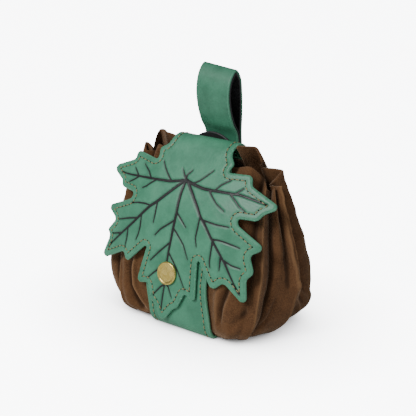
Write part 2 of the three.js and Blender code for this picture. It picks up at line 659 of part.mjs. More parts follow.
// One suede side: an outer and an inner face on one grid, joined along the seam edges and the rim.
function suedeSide(name, side) {
  const { pleats, hand } = side;
  const rounds = [];
  pleats.slice(1).forEach((row, i) => {
    for (let k = 0; k < facets_to_a_pleat; k++) rounds.push({ row: i, share: k / facets_to_a_pleat });
  });
  rounds.push({ row: pleats.length - 2, share: 1 });
  const columns = [{ tuck: -1 }, ...rounds, { tuck: 1 }];
  const roundAt = (column, seam) => {
    const [a, b] = [pleats[column.row], pleats[column.row + 1]];
    const place = (p) => p.hem + (p.rim - p.hem) * seam;
    return place(a) + (place(b) - place(a)) * column.share;
  };
  const grid = (depth) =>
    seam_lines.map((seam) =>
      columns.map((column) => {
        if (column.tuck) {
          const edge = sidePoint(side, column.tuck < 0 ? 0 : 1, seam, depth);
          return edge.setX(edge.x - seam_allowance);
        }
        return sidePoint(side, roundAt(column, seam), seam, depth);
      }),
    );
  const outer = grid(0);
  const inner = grid(1);
  // At the pole every column of a face is one point, and so are the two tucked columns.
  for (const face of [outer, inner]) {
    const pole = face[0][1].clone();
    const tucked = pole.clone().setX(pole.x - seam_allowance);
    face[0] = columns.map((column) => (column.tuck ? tucked.clone() : pole.clone()));
  }
  const triangles = [];
  const quad = (a, b, c, d) => {
    const same = (u, v) => u.distanceTo(v) < 1e-6;
    const flat = (u, v, w) => same(u, v) || same(v, w) || same(w, u);
    for (const t of [
      [a, b, c],
      [a, c, d],
    ])
      if (!flat(...t)) triangles.push(t);
  };
  const [rows, last] = [seam_lines.length - 1, columns.length - 1];
  for (let i = 0; i < rows; i++)
    for (let j = 0; j < last; j++) {
      quad(outer[i][j], outer[i][j + 1], outer[i + 1][j + 1], outer[i + 1][j]);
      quad(inner[i][j], inner[i + 1][j], inner[i + 1][j + 1], inner[i][j + 1]);
    }
  for (let j = 0; j < last; j++) quad(outer[rows][j], outer[rows][j + 1], inner[rows][j + 1], inner[rows][j]);
  for (let i = 0; i < rows; i++) {
    quad(outer[i][0], outer[i + 1][0], inner[i + 1][0], inner[i][0]);
    quad(outer[i][last], inner[i][last], inner[i + 1][last], outer[i + 1][last]);
  }
  const placed = triangles.map((t) => t.map((v) => v.clone().setX(v.x * hand + leanAt(v.z))));
  return meshOf(name, hand < 0 ? placed.map(([a, b, c]) => [a, c, b]) : placed, brown_suede);
}

// Belt loop: a strap folded over, its lower ends sewn to the back, with a black lining inside.
// Point above the back of the flap at a height: the standoff is square to the flap, or straight back above
// the height where the flap starts to turn over the crown.
function behindFlap(height, standoff) {
  let best = flap_profile.at(0);
  for (let s = 0; s < 0.5 * flap_profile.length; s += 0.5) {
    const place = flap_profile.at(s);
    const nearer = Math.abs(place.point.z - height) < Math.abs(best.point.z - height);
    if (place.normal.y > 0 && place.point.z < turn_height && nearer) best = place;
  }
  const { point, normal } = best;
  const above = Math.max(0, height - turn_height);
  return [point.y + normal.y * standoff, point.z + normal.z * standoff + above];
}
const tab_standoff = 2 * clearance + tab_thickness; // from the flap to the outer face of the tab
const loop_stack = tab_standoff + clearance; // tab between the flap and the strap
const loop_wall = strap_thickness + clearance + lining_thickness;
const loop_closed = 2 * loop_wall + clearance; // thickness of the two strands sewn together

// Outer face of the loop above its sewn ends, from the rear strand over the top to the front strand.
// Columns: share of the loop's depth from front to rear, share of its height above the tab.
const loop_rows = [
  { deep: 1.0, up: 0.0 },
  { deep: 1.02, up: 0.3 },
  { deep: 0.98, up: 0.62 },
  { deep: 0.83, up: 0.88 },
  { deep: 0.5, up: 1.0 },
  { deep: 0.16, up: 0.89 },
  { deep: 0.0, up: 0.66 },
  { deep: 0.1, up: 0.4 },
  { deep: 0.36, up: 0.16 },
];

function loopProfile() {
  const depth = loop_belly + loop_closed;
  const front_y = behindFlap(turn_height, loop_stack)[0] - loop_belly;
  const rise = loop_height - tab_height;
  const sewn = [0, 0.33, 0.67].map((share) => sewn_end + share * (turn_height - sewn_end));
  return new Profile([
    ...sewn.map((z) => behindFlap(z, loop_stack + loop_closed)),
    ...loop_rows.map(({ deep, up }) => [front_y + deep * depth, tab_height + up * rise]),
    [front_y + loop_belly, tab_height],
    ...sewn.reverse().map((z) => behindFlap(z, loop_stack)),
  ]);
}
const loop_profile = loopProfile();

function placeOnLoop(across, along, depth) {
  const { point, normal } = loop_profile.at(along);
  point.addScaledVector(normal, depth);
  const free = THREE.MathUtils.clamp((point.z - crown_height) / (loop_height - crown_height), 0, 1);
  const roll = THREE.MathUtils.degToRad(loop_roll) * free;
  const x = across * Math.cos(roll) + loop_lean * free ** 2;
  return new THREE.Vector3(x, point.y, point.z - across * Math.sin(roll));
}

function beltLoop() {
  const lines = [...bendLines(loop_profile, 0, loop_profile.length, bend_turn), loop_profile.length];
  const half = () => strap_width / 2;
  const outer = (across, along, depth) => placeOnLoop(across, along, depth - strap_thickness);
  return layStrip("belt_loop", half, strap_thickness, lines, outer, green_leather);
}

function loopLining() {
  const lines = [...bendLines(loop_profile, 0, loop_profile.length, bend_turn), loop_profile.length];
  const half = () => strap_width / 2;
  const inner = (across, along, depth) => placeOnLoop(across, along, depth - loop_wall);
  return layStrip("loop_lining", half, lining_thickness, lines, inner, black_leather);
}

// Anchor tab: the black patch with a round top that backs the loop.
const tab_lines = [0.15, 0.3, 0.42, 0.54, 0.68, 0.82, 0.92, 0.98, 1]; // shares of the radius up its round top
const tab_flat = 0.12; // half width of the short flat at the very top, as a share of the radius
function anchorTab() {
  const heights = [0, 0.2, 0.4, 0.6, 0.8, 1].map((share) => sewn_end + share * (turn_height - sewn_end));
  const [top_y] = behindFlap(turn_height, tab_standoff);
  const rows = [...heights.map((z) => behindFlap(z, tab_standoff)), [top_y, tab_height]];
  const profile = new Profile(rows);
  const radius = tab_width / 2;
  const half = (along) => {
    const over = Math.max(0, along - (profile.length - radius));
    return Math.sqrt(Math.max(radius ** 2 - over ** 2, (tab_flat * radius) ** 2));
  };
  const place = (across, along, depth) => {
    const { point, normal } = profile.at(along);
    return point.addScaledVector(normal, depth - tab_thickness).setX(across + tab_offset);
  };
  const arc = tab_lines.map((share) => profile.length - (1 - share) * radius);
  return layStrip("anchor_tab", half, tab_thickness, [0, ...arc], place, black_leather);
}

// Snap: cap on the leaf, post through leaf and band, washer inside the pouch.
function snapFrame() {
  const at = placeOnFlap(snap_offset, vein_centre_along + snap_from_centre, flap_thickness);
  const below = placeOnFlap(snap_offset, vein_centre_along + snap_from_centre, 0);
  return { at, normal: at.clone().sub(below).normalize() };
}

const cap_sides = 24;
const hole_sides = 16;
function turned(points, sides) {
  const { at, normal } = snapFrame();
  const lathe = new THREE.LatheGeometry(points, sides);
  lathe.applyQuaternion(new THREE.Quaternion().setFromUnitVectors(new THREE.Vector3(0, 1, 0), normal));
  lathe.translate(at.x, at.y, at.z);
  return lathe;
}

function snapButton() {
  const cap = snap_diameter / 2;
  const post = snap_post_diameter / 2;
  const washer = snap_washer_diameter / 2;
  const { at, normal } = snapFrame();
  const band_at = band_profile.at(band_profile.nearest(new THREE.Vector3(0, at.y, at.z))).point;
  const band_gap = at.clone().sub(band_at).dot(normal);
  const grip = band_gap + band_thickness + 2 * clearance;
  const points = [
    new THREE.Vector2(0, -grip - snap_washer),
    new THREE.Vector2(washer, -grip - snap_washer),
    new THREE.Vector2(washer, -grip),
    new THREE.Vector2(post, -grip),
    new THREE.Vector2(post, clearance),
    new THREE.Vector2(cap, clearance),
    new THREE.Vector2(cap, clearance + 0.5 * snap_head),
    new THREE.Vector2(cap - snap_rim, clearance + snap_head),
    new THREE.Vector2(cap - 2 * snap_rim, clearance + 0.86 * snap_head),
    new THREE.Vector2(0, clearance + 0.92 * snap_head),
  ];
  const mesh = new THREE.Mesh(turned(points, cap_sides), brass);
  mesh.name = "snap_button";
  return mesh;
}

// Punches the hole for the snap's post through a piece.
function punched(mesh) {
  const solid = (geometry) => {
    const bare = geometry.index ? geometry.toNonIndexed() : geometry.clone();
    bare.deleteAttribute("normal");
    bare.deleteAttribute("uv");
    const merged = mergeVertices(bare, 1e-3);
    return new wasm.Manifold(
      new wasm.Mesh({
        numProp: 3,
        vertProperties: merged.getAttribute("position").array,
        triVerts: new Uint32Array(merged.index.array),
      }),
    );
  };
  const hole = snap_post_diameter / 2 + clearance;
  const reach = 3 * (flap_thickness + band_thickness);
  const tool = [
    new THREE.Vector2(0, -reach),
    new THREE.Vector2(hole, -reach),
    new THREE.Vector2(hole, reach),
    new THREE.Vector2(0, reach),
  ];
  const cut = solid(mesh.geometry).subtract(solid(turned(tool, hole_sides))).getMesh();
  const geometry = new THREE.BufferGeometry();
  geometry.setAttribute("position", new THREE.BufferAttribute(new Float32Array(cut.vertProperties), 3));
  geometry.setIndex(new THREE.BufferAttribute(new Uint32Array(cut.triVerts), 1));
  geometry.computeVertexNormals();
  mesh.geometry = geometry;
  return mesh;
}

const pouch = new THREE.Group();
pouch.add(
  punched(centreBand()),
  suedeSide("suede_side_right", { rows: right_rows, pleats: right_pleats, reach: right_reach, hand: 1 }),
  suedeSide("suede_side_left", { rows: left_rows, pleats: left_pleats, reach: left_reach, hand: -1 }),
  punched(leafFlap()),
  snapButton(),
  anchorTab(),
  beltLoop(),
  loopLining(),
);

// The origin is the middle of the whole pouch's footprint, on the floor.
const extent = new THREE.Box3().setFromObject(pouch);
const middle = extent.getCenter(new THREE.Vector3());
pouch.position.set(-middle.x, -middle.y, -extent.min.z);

export default pouch;
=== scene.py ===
import bpy
import numpy as np
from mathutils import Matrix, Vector


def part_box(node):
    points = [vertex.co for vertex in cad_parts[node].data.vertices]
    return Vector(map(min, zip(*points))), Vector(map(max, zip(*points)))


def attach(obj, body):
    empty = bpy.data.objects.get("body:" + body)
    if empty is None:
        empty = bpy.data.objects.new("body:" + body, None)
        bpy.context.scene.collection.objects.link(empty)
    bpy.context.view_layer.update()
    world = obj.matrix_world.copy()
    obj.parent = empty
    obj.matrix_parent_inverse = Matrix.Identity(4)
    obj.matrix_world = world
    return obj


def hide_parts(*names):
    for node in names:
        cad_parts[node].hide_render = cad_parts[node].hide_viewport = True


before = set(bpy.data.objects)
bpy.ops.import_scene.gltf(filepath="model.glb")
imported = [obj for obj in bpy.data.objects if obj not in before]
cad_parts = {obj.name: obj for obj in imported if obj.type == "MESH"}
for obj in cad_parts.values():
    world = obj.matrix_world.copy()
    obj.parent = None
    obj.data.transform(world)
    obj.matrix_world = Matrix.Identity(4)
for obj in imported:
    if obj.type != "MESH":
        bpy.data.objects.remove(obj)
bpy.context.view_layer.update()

# Centre band: a strip of green leather that runs down the front, under the body and up the back.
# The suede sides are sewn to both of its edges. Lengths are in millimetres, as in the part.

body_height = 106.0
front_depth = 40.0
back_depth = 41.0
band_width = 50.0
band_lean = 7.0
lean_share = 0.34
band_thickness = 2.4
band_end_round = 6.0
edge_rounding = 0.42
band_rows = [  # share of the front or back depth, share of the body height
    (-0.21, 1.0),
    (-0.45, 0.86),
    (-0.64, 0.7),
    (-0.8, 0.51),
    (-0.92, 0.31),
    (-0.99, 0.14),
    (-1.0, 0.05),
    (-0.9, 0.0),
    (-0.5, 0.0),
    (0.5, 0.0),
    (0.86, 0.0),
    (0.99, 0.07),
    (1.0, 0.2),
    (0.92, 0.36),
    (0.72, 0.57),
    (0.47, 0.77),
    (0.25, 0.93),
    (0.15, 1.02),
]


def smoothstep(value, start, end):
    """Rises from 0 at start to 1 at end as 3 s^2 - 2 s^3."""
    s = np.clip((value - start) / (end - start), 0, 1)
    return s * s * (3 - 2 * s)


def profile(rows):
    """A curve through (y, z) rows, laid out by its length.

    Between two rows the point moves on a cubic. Its end slopes come from the neighbouring rows, each
    reached in a time of the square root of its distance. Returns a function that gives points and
    outward normals at distances along the curve, and the length. Past its ends the curve runs
    straight, and what would dip below the floor lies flat on it.
    """
    p = np.array(rows, float)
    p = np.vstack([2 * p[0] - p[1], p, 2 * p[-1] - p[-2]])
    times = np.sqrt(np.linalg.norm(np.diff(p, axis=0), axis=1))[:, None]
    t0, t1, t2 = times[:-2], times[1:-1], times[2:]
    x0, x1, x2, x3 = p[:-3], p[1:-2], p[2:-1], p[3:]
    m1 = t1 * ((x1 - x0) / t0 - (x2 - x0) / (t0 + t1) + (x2 - x1) / t1)
    m2 = t1 * ((x2 - x1) / t1 - (x3 - x1) / (t1 + t2) + (x3 - x2) / t2)
    s = np.linspace(0, 1, 200, endpoint=False)[:, None, None]
    points = x1 + m1 * s + (3 * x2 - 3 * x1 - 2 * m1 - m2) * s**2 + (2 * x1 - 2 * x2 + m1 + m2) * s**3
    points = np.vstack([points.transpose(1, 0, 2).reshape(-1, 2), p[-2]])
    length = np.concatenate([[0], np.cumsum(np.linalg.norm(np.diff(points, axis=0), axis=1))])
    tangents = np.gradient(points, length, axis=0)

    def at(distance):
        d = np.asarray(distance, float)
        inside = np.clip(d, 0, length[-1])
        point = np.stack([np.interp(inside, length, points[:, k]) for k in (0, 1)], -1)
        tangent = np.stack([np.interp(inside, length, tangents[:, k]) for k in (0, 1)], -1)
        tangent /= np.linalg.norm(tangent, axis=-1, keepdims=True)
        point += tangent * (d - inside)[..., None]
        low = point[..., 1:] < 0
        point[..., 1] = np.maximum(point[..., 1], 0)
        tangent = np.where(low, [1.0, 0.0], tangent)
        return point, np.stack([tangent[..., 1], -tangent[..., 0]], -1)

    return at, length[-1]


def depth_of(share):
    """A distance in front of (below 0) or behind the middle, as a share of the depth there."""
    return share * (front_depth if share < 0 else back_depth)


band_at, band_length = profile([(depth_of(share), up * body_height) for share, up in band_rows])


def lean_at(height):
    """Sideways lean of the band: full at the floor, none above a third of the body's height."""
    return band_lean * (1 - smoothstep(height, 0, lean_share * body_height))


def place_on_band(across, along, depth):
    """Points of the band: depth runs from its inner face (0) to its outer face (the thickness)."""
    point, normal = band_at(along)
    point = point + normal * (depth - band_thickness)[..., None]
    return np.stack([across + lean_at(point[..., 1]), point[..., 0], point[..., 1]], -1)


# The part's origin is the middle of its whole footprint; the curves here start from the band's own.
band_low, band_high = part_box("centre_band")
band_outline = band_at(np.linspace(0, band_length, 2000))[0]
row_shift = np.array(
    [
        band_high.x * 1000 - band_width / 2 - band_lean,
        (band_low.y + band_high.y) * 500 - (band_outline[:, 0].min() + band_outline[:, 0].max()) / 2,
        0.0,
    ]
)


def mesh_object(name, points, faces, material, **values):
    """A piece from points in millimetres and rows of point numbers; values are stored point by point."""
    mesh = bpy.data.meshes.new(name)
    moved = (points.reshape(-1, 3) + row_shift) * 0.001
    mesh.from_pydata(moved.tolist(), [], faces.tolist())
    for key, value in values.items():
        layer = mesh.attributes.new(key, "FLOAT", "POINT")
        layer.data.foreach_set("value", np.ascontiguousarray(value, np.float32).ravel())
    mesh.shade_smooth()
    mesh.materials.append(material)
    piece = bpy.data.objects.new(name, mesh)
    bpy.context.scene.collection.objects.link(piece)
    return piece


def sheet_faces(rows, columns):
    """Quads of an outer and an inner grid of points, joined all round their rims."""
    n = np.arange(rows * columns).reshape(rows, columns)
    inner = n + n.size
    quads = [
        np.stack([n[:-1, :-1], n[:-1, 1:], n[1:, 1:], n[1:, :-1]], -1).reshape(-1, 4),
        np.stack([inner[:-1, :-1], inner[1:, :-1], inner[1:, 1:], inner[:-1, 1:]], -1).reshape(-1, 4),
    ]
    for edge in (n[0, ::-1], n[:, 0], n[-1], n[::-1, -1]):
        quads.append(np.stack([edge[:-1], edge[1:], edge[1:] + n.size, edge[:-1] + n.size], -1))
    return np.vstack(quads)


def crowded(low, high, step, edge):
    """Places from low to high, a step apart, and crowded within an edge width of both ends."""
    shares = np.array([0, 0.06, 0.2, 0.4, 0.65, 1.0])
    middle = np.linspace(low + edge, high - edge, max(3, int((high - low) / step)))
    return np.concatenate([low + shares[:-1] * edge, middle, high - shares[:-1][::-1] * edge])


def rounded_faces(gap, thickness, rounding):
    """Depths of the outer and inner face at a gap from the edge: a quarter circle, then flat."""
    inwards = np.clip(rounding - gap, 0, rounding)
    drop = rounding - np.sqrt(rounding**2 - inwards**2)
    return thickness - drop, drop


def laid_sheet(name, x, y, gap, thickness, place, material, grooves=()):
    """A sheet of leather from a flat grid of points and their gaps to its edge.

    The gap rounds the faces down, and each groove (gap, width, depth) takes a bell-shaped line out of
    the outer face. place lays the flat points out in space.
    """
    outer, inner = rounded_faces(gap, thickness, edge_rounding * thickness)
    for at, width, depth in grooves:
        outer = outer - depth * np.exp(-(((gap - at) / width) ** 2))
    points = np.stack([place(x, y, outer), place(x, y, inner)])
    faces = sheet_faces(*x.shape)[:, ::-1]
    return mesh_object(name, points, faces, material, edge_gap=np.stack([gap, gap]))


def leather_strip(name, half_width, length, thickness, end_round, place, material, step=0.9, grooves=()):
    """A strip of leather with rounded corners.

    Rows run across the strip and are half_width wide, less a quarter circle of end_round near the two
    ends.
    """
    along = crowded(0, length, step, max(end_round, thickness))
    over = np.clip(end_round - np.minimum(along, length - along), 0, end_round)
    half = half_width - (end_round - np.sqrt(end_round**2 - over**2))
    across = crowded(-1, 1, step / half_width, 1.2 * thickness / half_width)
    x = across[None, :] * half[:, None]
    y = np.repeat(along[:, None], len(across), 1)
    in_x = half_width - end_round - np.abs(x)
    in_y = np.minimum(y, length - y) - end_round
    corner = np.hypot(np.minimum(in_x, 0), np.minimum(in_y, 0))
    gap = np.clip(end_round - corner, 0, None)
    gap = np.where((in_x > 0) & (in_y > 0), end_round + np.minimum(in_x, in_y), gap)
    return laid_sheet(name, x, y, gap, thickness, place, material, grooves)


def node(tree, kind, inputs, **settings):
    """Adds a shader node; inputs gives a value, or the socket that feeds it, for each named socket."""
    made = tree.nodes.new("ShaderNode" + kind)
    for key, value in settings.items():
        setattr(made, key, value)
    for key, value in inputs.items():
        if isinstance(value, bpy.types.NodeSocket):
            tree.links.new(value, made.inputs[key])
        else:
            made.inputs[key].default_value = value
    return made


def mixed(tree, factor, first, second):
    """The colour socket of a mix of two colours."""
    made = tree.nodes.new("ShaderNodeMix")
    made.data_type = "RGBA"
    for socket, value in ((made.inputs[0], factor), (made.inputs[6], first), (made.inputs[7], second)):
        if isinstance(value, bpy.types.NodeSocket):
            tree.links.new(value, socket)
        else:
            socket.default_value = value
    return made.outputs[2]


def band_between(tree, value, low, high, first=0.0, second=1.0):
    """A value mapped smoothly from low..high to first..second."""
    inputs = {"Value": value, "From Min": low, "From Max": high, "To Min": first, "To Max": second}
    return node(tree, "MapRange", inputs, interpolation_type="SMOOTHSTEP").outputs[0]


def calculated(tree, operation, first, second):
    """The result of an operation on two values."""
    return node(tree, "Math", {0: first, 1: second}, operation=operation).outputs[0]


def noise(tree, place, scale, detail, rough=0.5):
    """A noise from 0 to 1 at a place, with a number of cells to the metre."""
    inputs = {"Vector": place, "Scale": scale, "Detail": detail, "Roughness": rough}
    return node(tree, "TexNoise", inputs).outputs[0]


def stored(tree, key):
    """A value that is stored with the points."""
    return node(tree, "Attribute", {}, attribute_name=key).outputs["Fac"]


def plain_material(name, colour, **levels):
    """A material of one colour; levels sets more of its shader's inputs, with _ for a space."""
    material = bpy.data.materials.new(name)
    material.use_nodes = True
    inputs = material.node_tree.nodes["Principled BSDF"].inputs
    inputs["Base Color"].default_value = (*colour, 1)
    for key, value in levels.items():
        inputs[key.replace("_", " ")].default_value = value
    return material


def joined(material, **sockets):
    """Feeds inputs of a material's shader from sockets; returns the material."""
    tree = material.node_tree
    for key, socket in sockets.items():
        tree.links.new(socket, tree.nodes["Principled BSDF"].inputs[key.replace("_", " ")])
    return material


def leather(name, dark, light, edge, roughness, veins=False):
    """Dyed leather: a blotchy colour, a paler edge, a fine pebbled grain and a soft shine. The paler edge is
    burnished wear on green leather and a painted highlight on black leather.
    """
    material = plain_material(name, dark, Specular_IOR_Level=0.4, Coat_Weight=0.05, Coat_Roughness=0.35)
    tree = material.node_tree
    place = node(tree, "TexCoord", {}).outputs["Object"]
    blotch = noise(tree, place, 70.0, 5.0, 0.6)
    speck = noise(tree, place, 900.0, 3.0, 0.6)
    shade = band_between(tree, blotch, 0.32, 0.68)
    colour = mixed(tree, shade, (*dark, 1), (*light, 1))
    colour = mixed(tree, band_between(tree, speck, 0.35, 0.75, 0.0, 0.35), colour, (*dark, 1))
    ragged = calculated(tree, "ADD", stored(tree, "edge_gap"), speck)
    # The paler edge: burnished wear on green leather, a painted highlight on black leather.
    colour = mixed(tree, band_between(tree, ragged, 0.9, 1.6, 0.85, 0.0), colour, (*edge, 1))
    rough = band_between(tree, blotch, 0.3, 0.7, roughness - 0.06, roughness + 0.08)
    if veins:
        vein = stored(tree, "vein_gap")
        wobble = node(tree, "Math", {0: speck, 1: -0.35, 2: 0.17}, operation="MULTIPLY_ADD").outputs[0]
        edge_of_vein = calculated(tree, "ADD", vein, wobble)
        dye = band_between(tree, edge_of_vein, -0.22, 0.12, 1.0, 0.0)
        stain = band_between(tree, vein, 0.0, 1.3, 0.35, 0.0)
        colour = mixed(tree, stain, colour, (0.02, 0.06, 0.04, 1))
        colour = mixed(tree, dye, colour, (0.012, 0.013, 0.014, 1))
    grain = node(tree, "TexVoronoi", {"Vector": place, "Scale": 1100.0}, feature="SMOOTH_F1").outputs[0]
    fold = noise(tree, place, 260.0, 4.0)
    height = calculated(tree, "ADD", calculated(tree, "MULTIPLY", grain, 0.35), fold)
    bump = node(tree, "Bump", {"Height": height, "Strength": 0.45, "Distance": 0.0004}).outputs[0]
    return joined(material, Base_Color=colour, Roughness=rough, Normal=bump)


green_leather = leather("green_leather", (0.052, 0.21, 0.122), (0.08, 0.3, 0.178), (0.13, 0.38, 0.23), 0.46)
stitch_inset = 4.0
band_groove = 0.28
groove_width = 0.7
band = leather_strip(
    "band_leather",
    band_width / 2,
    band_length,
    band_thickness,
    band_end_round,
    place_on_band,
    green_leather,
    grooves=[(stitch_inset, groove_width, band_groove)],
)
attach(band, "root")
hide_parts("centre_band")

# Stitching of the band: waxed tan thread through punched holes along both edges, 4 mm in.
# It holds the suede sides to the band.

stitch_pitch = 3.6
stitch_length = 2.3
thread_radius = 0.32
thread_low = 0.1
thread_rise = 0.24
hole_radius = 0.7
hole_rings = [(1.0, -0.05), (0.8, 0.1), (0.35, 0.13)]  # share of the radius, height in mm
stitch_reach = 0.8
pressed_below = 0.3
pressed_away = 0.6


def thread_material():
    """Waxed linen thread, with its twist as a fine slanting wave; its colour darkens in the twist's grooves
    as painted shade.
    """
    material = plain_material("thread", (0.45, 0.35, 0.18), Roughness=0.7)
    tree = material.node_tree
    place = node(tree, "TexCoord", {}).outputs["Object"]
    inputs = {"Vector": place, "Scale": 700.0, "Distortion": 2.0}
    twist = node(tree, "TexWave", inputs, bands_direction="DIAGONAL").outputs[1]
    # Painted shade: the colour is darker where the twist's bump is low.
    colour = mixed(tree, twist, (0.26, 0.19, 0.085, 1), (0.45, 0.35, 0.18, 1))
    bump = node(tree, "Bump", {"Height": twist, "Strength": 0.5, "Distance": 0.0001}).outputs[0]
    return joined(material, Base_Color=colour, Normal=bump)


def pressed(points):
    """Points under the body, pressed by its weight: how far they lie below a height is scaled down."""
    low = np.minimum(points[..., 2:], pressed_below) - pressed_below
    return np.concatenate([points[..., :2], points[..., 2:] - pressed_away * low], -1)


def stitched(name, paths, place, top, material, hole_shade_material):
    """Stitches along flat paths on a piece of leather: a thread and a hole for each pitch.

    A path is laid out by length and cut in equal pitches. Each thread is a tube along its stitch. With
    the share of the way from its middle to an end, its radius falls off as the root of 1 - 0.97 share^4
    and its height as 1 - share^2. Each hole is a dark dome, flat on the leather, between two threads:
    painted shade standing in for the shadow inside the punched hole.
    """
    cut = []
    for path in paths:
        run = np.concatenate([[0], np.cumsum(np.linalg.norm(np.diff(path, axis=0), axis=1))])
        count = int(run[-1] / stitch_pitch)
        cuts = (np.arange(count) + 0.5) * run[-1] / count
        places = cuts, np.minimum(cuts + stitch_reach, run[-1]), np.maximum(cuts - stitch_reach, 0)
        middle, after, before = (
            np.stack([np.interp(distance, run, column) for column in path.T], -1) for distance in places
        )
        cut.append((middle, after - before))
    middle, way = (np.vstack(column) for column in zip(*cut))
    way /= np.linalg.norm(way, axis=1, keepdims=True)
    side = np.stack([-way[:, 1], way[:, 0]], -1)
    turn = np.arange(8) / 8 * 2 * np.pi

    def repeated(ending, centre, offset, up, material):
        """Tubes of rings of eight points, one round each centre, closed by three quads at both ends."""
        flat = centre[:, None, None] + offset
        up = np.broadcast_to(top + up, flat.shape[:3])
        n = np.arange(up[0].size).reshape(-1, 8)
        after = np.roll(n, -1, 1)
        tube = np.stack([n[:-1], n[1:], after[1:], after[:-1]], -1).reshape(-1, 4)
        caps = [[r[k], r[k + 1], r[6 - k], r[7 - k]] for r in (n[0], n[-1][::-1]) for k in range(3)]
        first = np.arange(len(centre)) * n.size
        faces = (np.vstack([tube, caps]) + first[:, None, None]).reshape(-1, 4)
        return mesh_object(name + ending, pressed(place(flat[..., 0], flat[..., 1], up)), faces, material)

    share = np.linspace(-1, 1, 7)[:, None]
    radius = thread_radius * np.sqrt(1 - 0.97 * share**4)
    offset = way[:, None, None] * (share * stitch_length / 2)[..., None]
    offset = offset + side[:, None, None] * (radius * np.cos(turn))[..., None]
    up = thread_low + thread_rise * (1 - share**2) + radius * np.sin(turn)
    threads = repeated("_thread", middle, offset, up, material)
    radius, up = (column[:, None] for column in np.array(hole_rings).T)
    offset = (hole_radius * radius)[..., None] * np.stack([np.cos(turn), np.sin(turn)], -1)
    return threads, repeated("_holes", middle + way * stitch_pitch / 2, offset, up, hole_shade_material)


thread = thread_material()
# Near black: painted shade of the punched holes, which are drawn as small domes.
painted_hole_shade = plain_material("stitch_hole_shade", (0.006, 0.006, 0.006), Roughness=0.9)
edge_along = np.linspace(stitch_inset, band_length - stitch_inset, 400)
edge_across = np.full(len(edge_along), band_width / 2 - stitch_inset)
edge_lines = [np.stack([side * edge_across, edge_along], -1) for side in (-1, 1)]
groove_top = band_thickness - band_groove
for piece in stitched("band_stitch", edge_lines, place_on_band, groove_top, thread, painted_hole_shade):
    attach(piece, "root")

# Leaf flap: green leather cut as a maple leaf, its neck folded over the crown and its tongue down the
# back. The veins are tooled grooves dyed black, and a line of stitches follows its outline.

flap_thickness = 2.4
clearance = 0.3
leaf_half_width = 66.5
leaf_length = 95.5
tongue_length = 42.0
tongue_half_width = 24.0
tongue_round = 12.0
neck_round = 6.0
leaf_curl = 6.5
curl_power = 1.4
leaf_swing = 3.0
swing_start = 0.3
swing_reach = 1.3
neck_share = 0.36
crown_height = 118.5
crown_half_width = 24.5
tip_clearance = 3.0
edge_share = 0.48
leaf_rounding = 0.4
leaf_groove = 0.26
vein_depth = 0.5
vein_ridge = 0.06
flap_back_rows = (0.62, 0.76, 0.88, 1.0)  # share of the body height
crown_rows = [  # share of the front or back depth, distance below the crown's height, mm
    (0.2, 6.5),
    (0.14, 2.5),
    (0.04, 0.3),
    (-0.06, 0.5),
    (-0.16, 3.5),
    (-0.28, 10),
    (-0.51, 24),
]
flap_front_rows = [(0.72, 1.6), (0.55, 0.5), (0.36, 0.2), (0.2, 0.2), (0.1, 0.2)]  # share, slack in mm
right_leaf_rows = [  # share of the half width, share of the leaf length below the vein centre, rounding, mm
    (0.338, -0.23, 5.0),
    (0.414, -0.17, 1.5),
    (0.38, -0.107, 2.0),
    (0.644, -0.128, 3.0),
    (0.666, -0.061, 2.0),
    (1.007, 0.026, 5.2),
    (0.862, 0.096, 2.0),
    (0.822, 0.15, 2.6),
    (0.627, 0.165, 2.5),
    (0.644, 0.207, 2.5),
    (0.955, 0.315, 4.7),
    (0.815, 0.379, 2.5),
    (0.887, 0.484, 2.8),
    (0.821, 0.532, 2.0),
    (0.873, 0.716, 6.8),
    (0.602, 0.59, 3.0),
    (0.496, 0.668, 4.5),
    (0.28, 0.476, 4.0),
    (0.329, 0.782, 3.6),
    (0.192, 0.746, 1.5),
    (0.129, 0.857, 2.5),
    (0.08, 0.875, 2.0),
]
left_leaf_rows = [
    (0.411, -0.215, 3.0),
    (0.496, -0.181, 2.0),
    (0.471, -0.09, 2.5),
    (0.773, -0.134, 3.0),
    (0.78, -0.065, 2.0),
    (1.103, 0.018, 7.4),
    (0.875, 0.109, 2.0),
    (0.851, 0.156, 2.5),
    (0.65, 0.174, 2.5),
    (0.666, 0.224, 2.5),
    (1.009, 0.33, 5.1),
    (0.845, 0.404, 2.5),
    (0.953, 0.498, 2.5),
    (0.899, 0.534, 2.0),
    (0.997, 0.735, 7.6),
    (0.651, 0.603, 2.5),
    (0.592, 0.676, 3.6),
    (0.341, 0.495, 3.0),
    (0.412, 0.783, 4.3),
    (0.265, 0.756, 1.5),
    (0.205, 0.863, 2.5),
    (0.143, 0.886, 2.0),
]
leaf_tip = (-0.048, 1.0, 5.2)
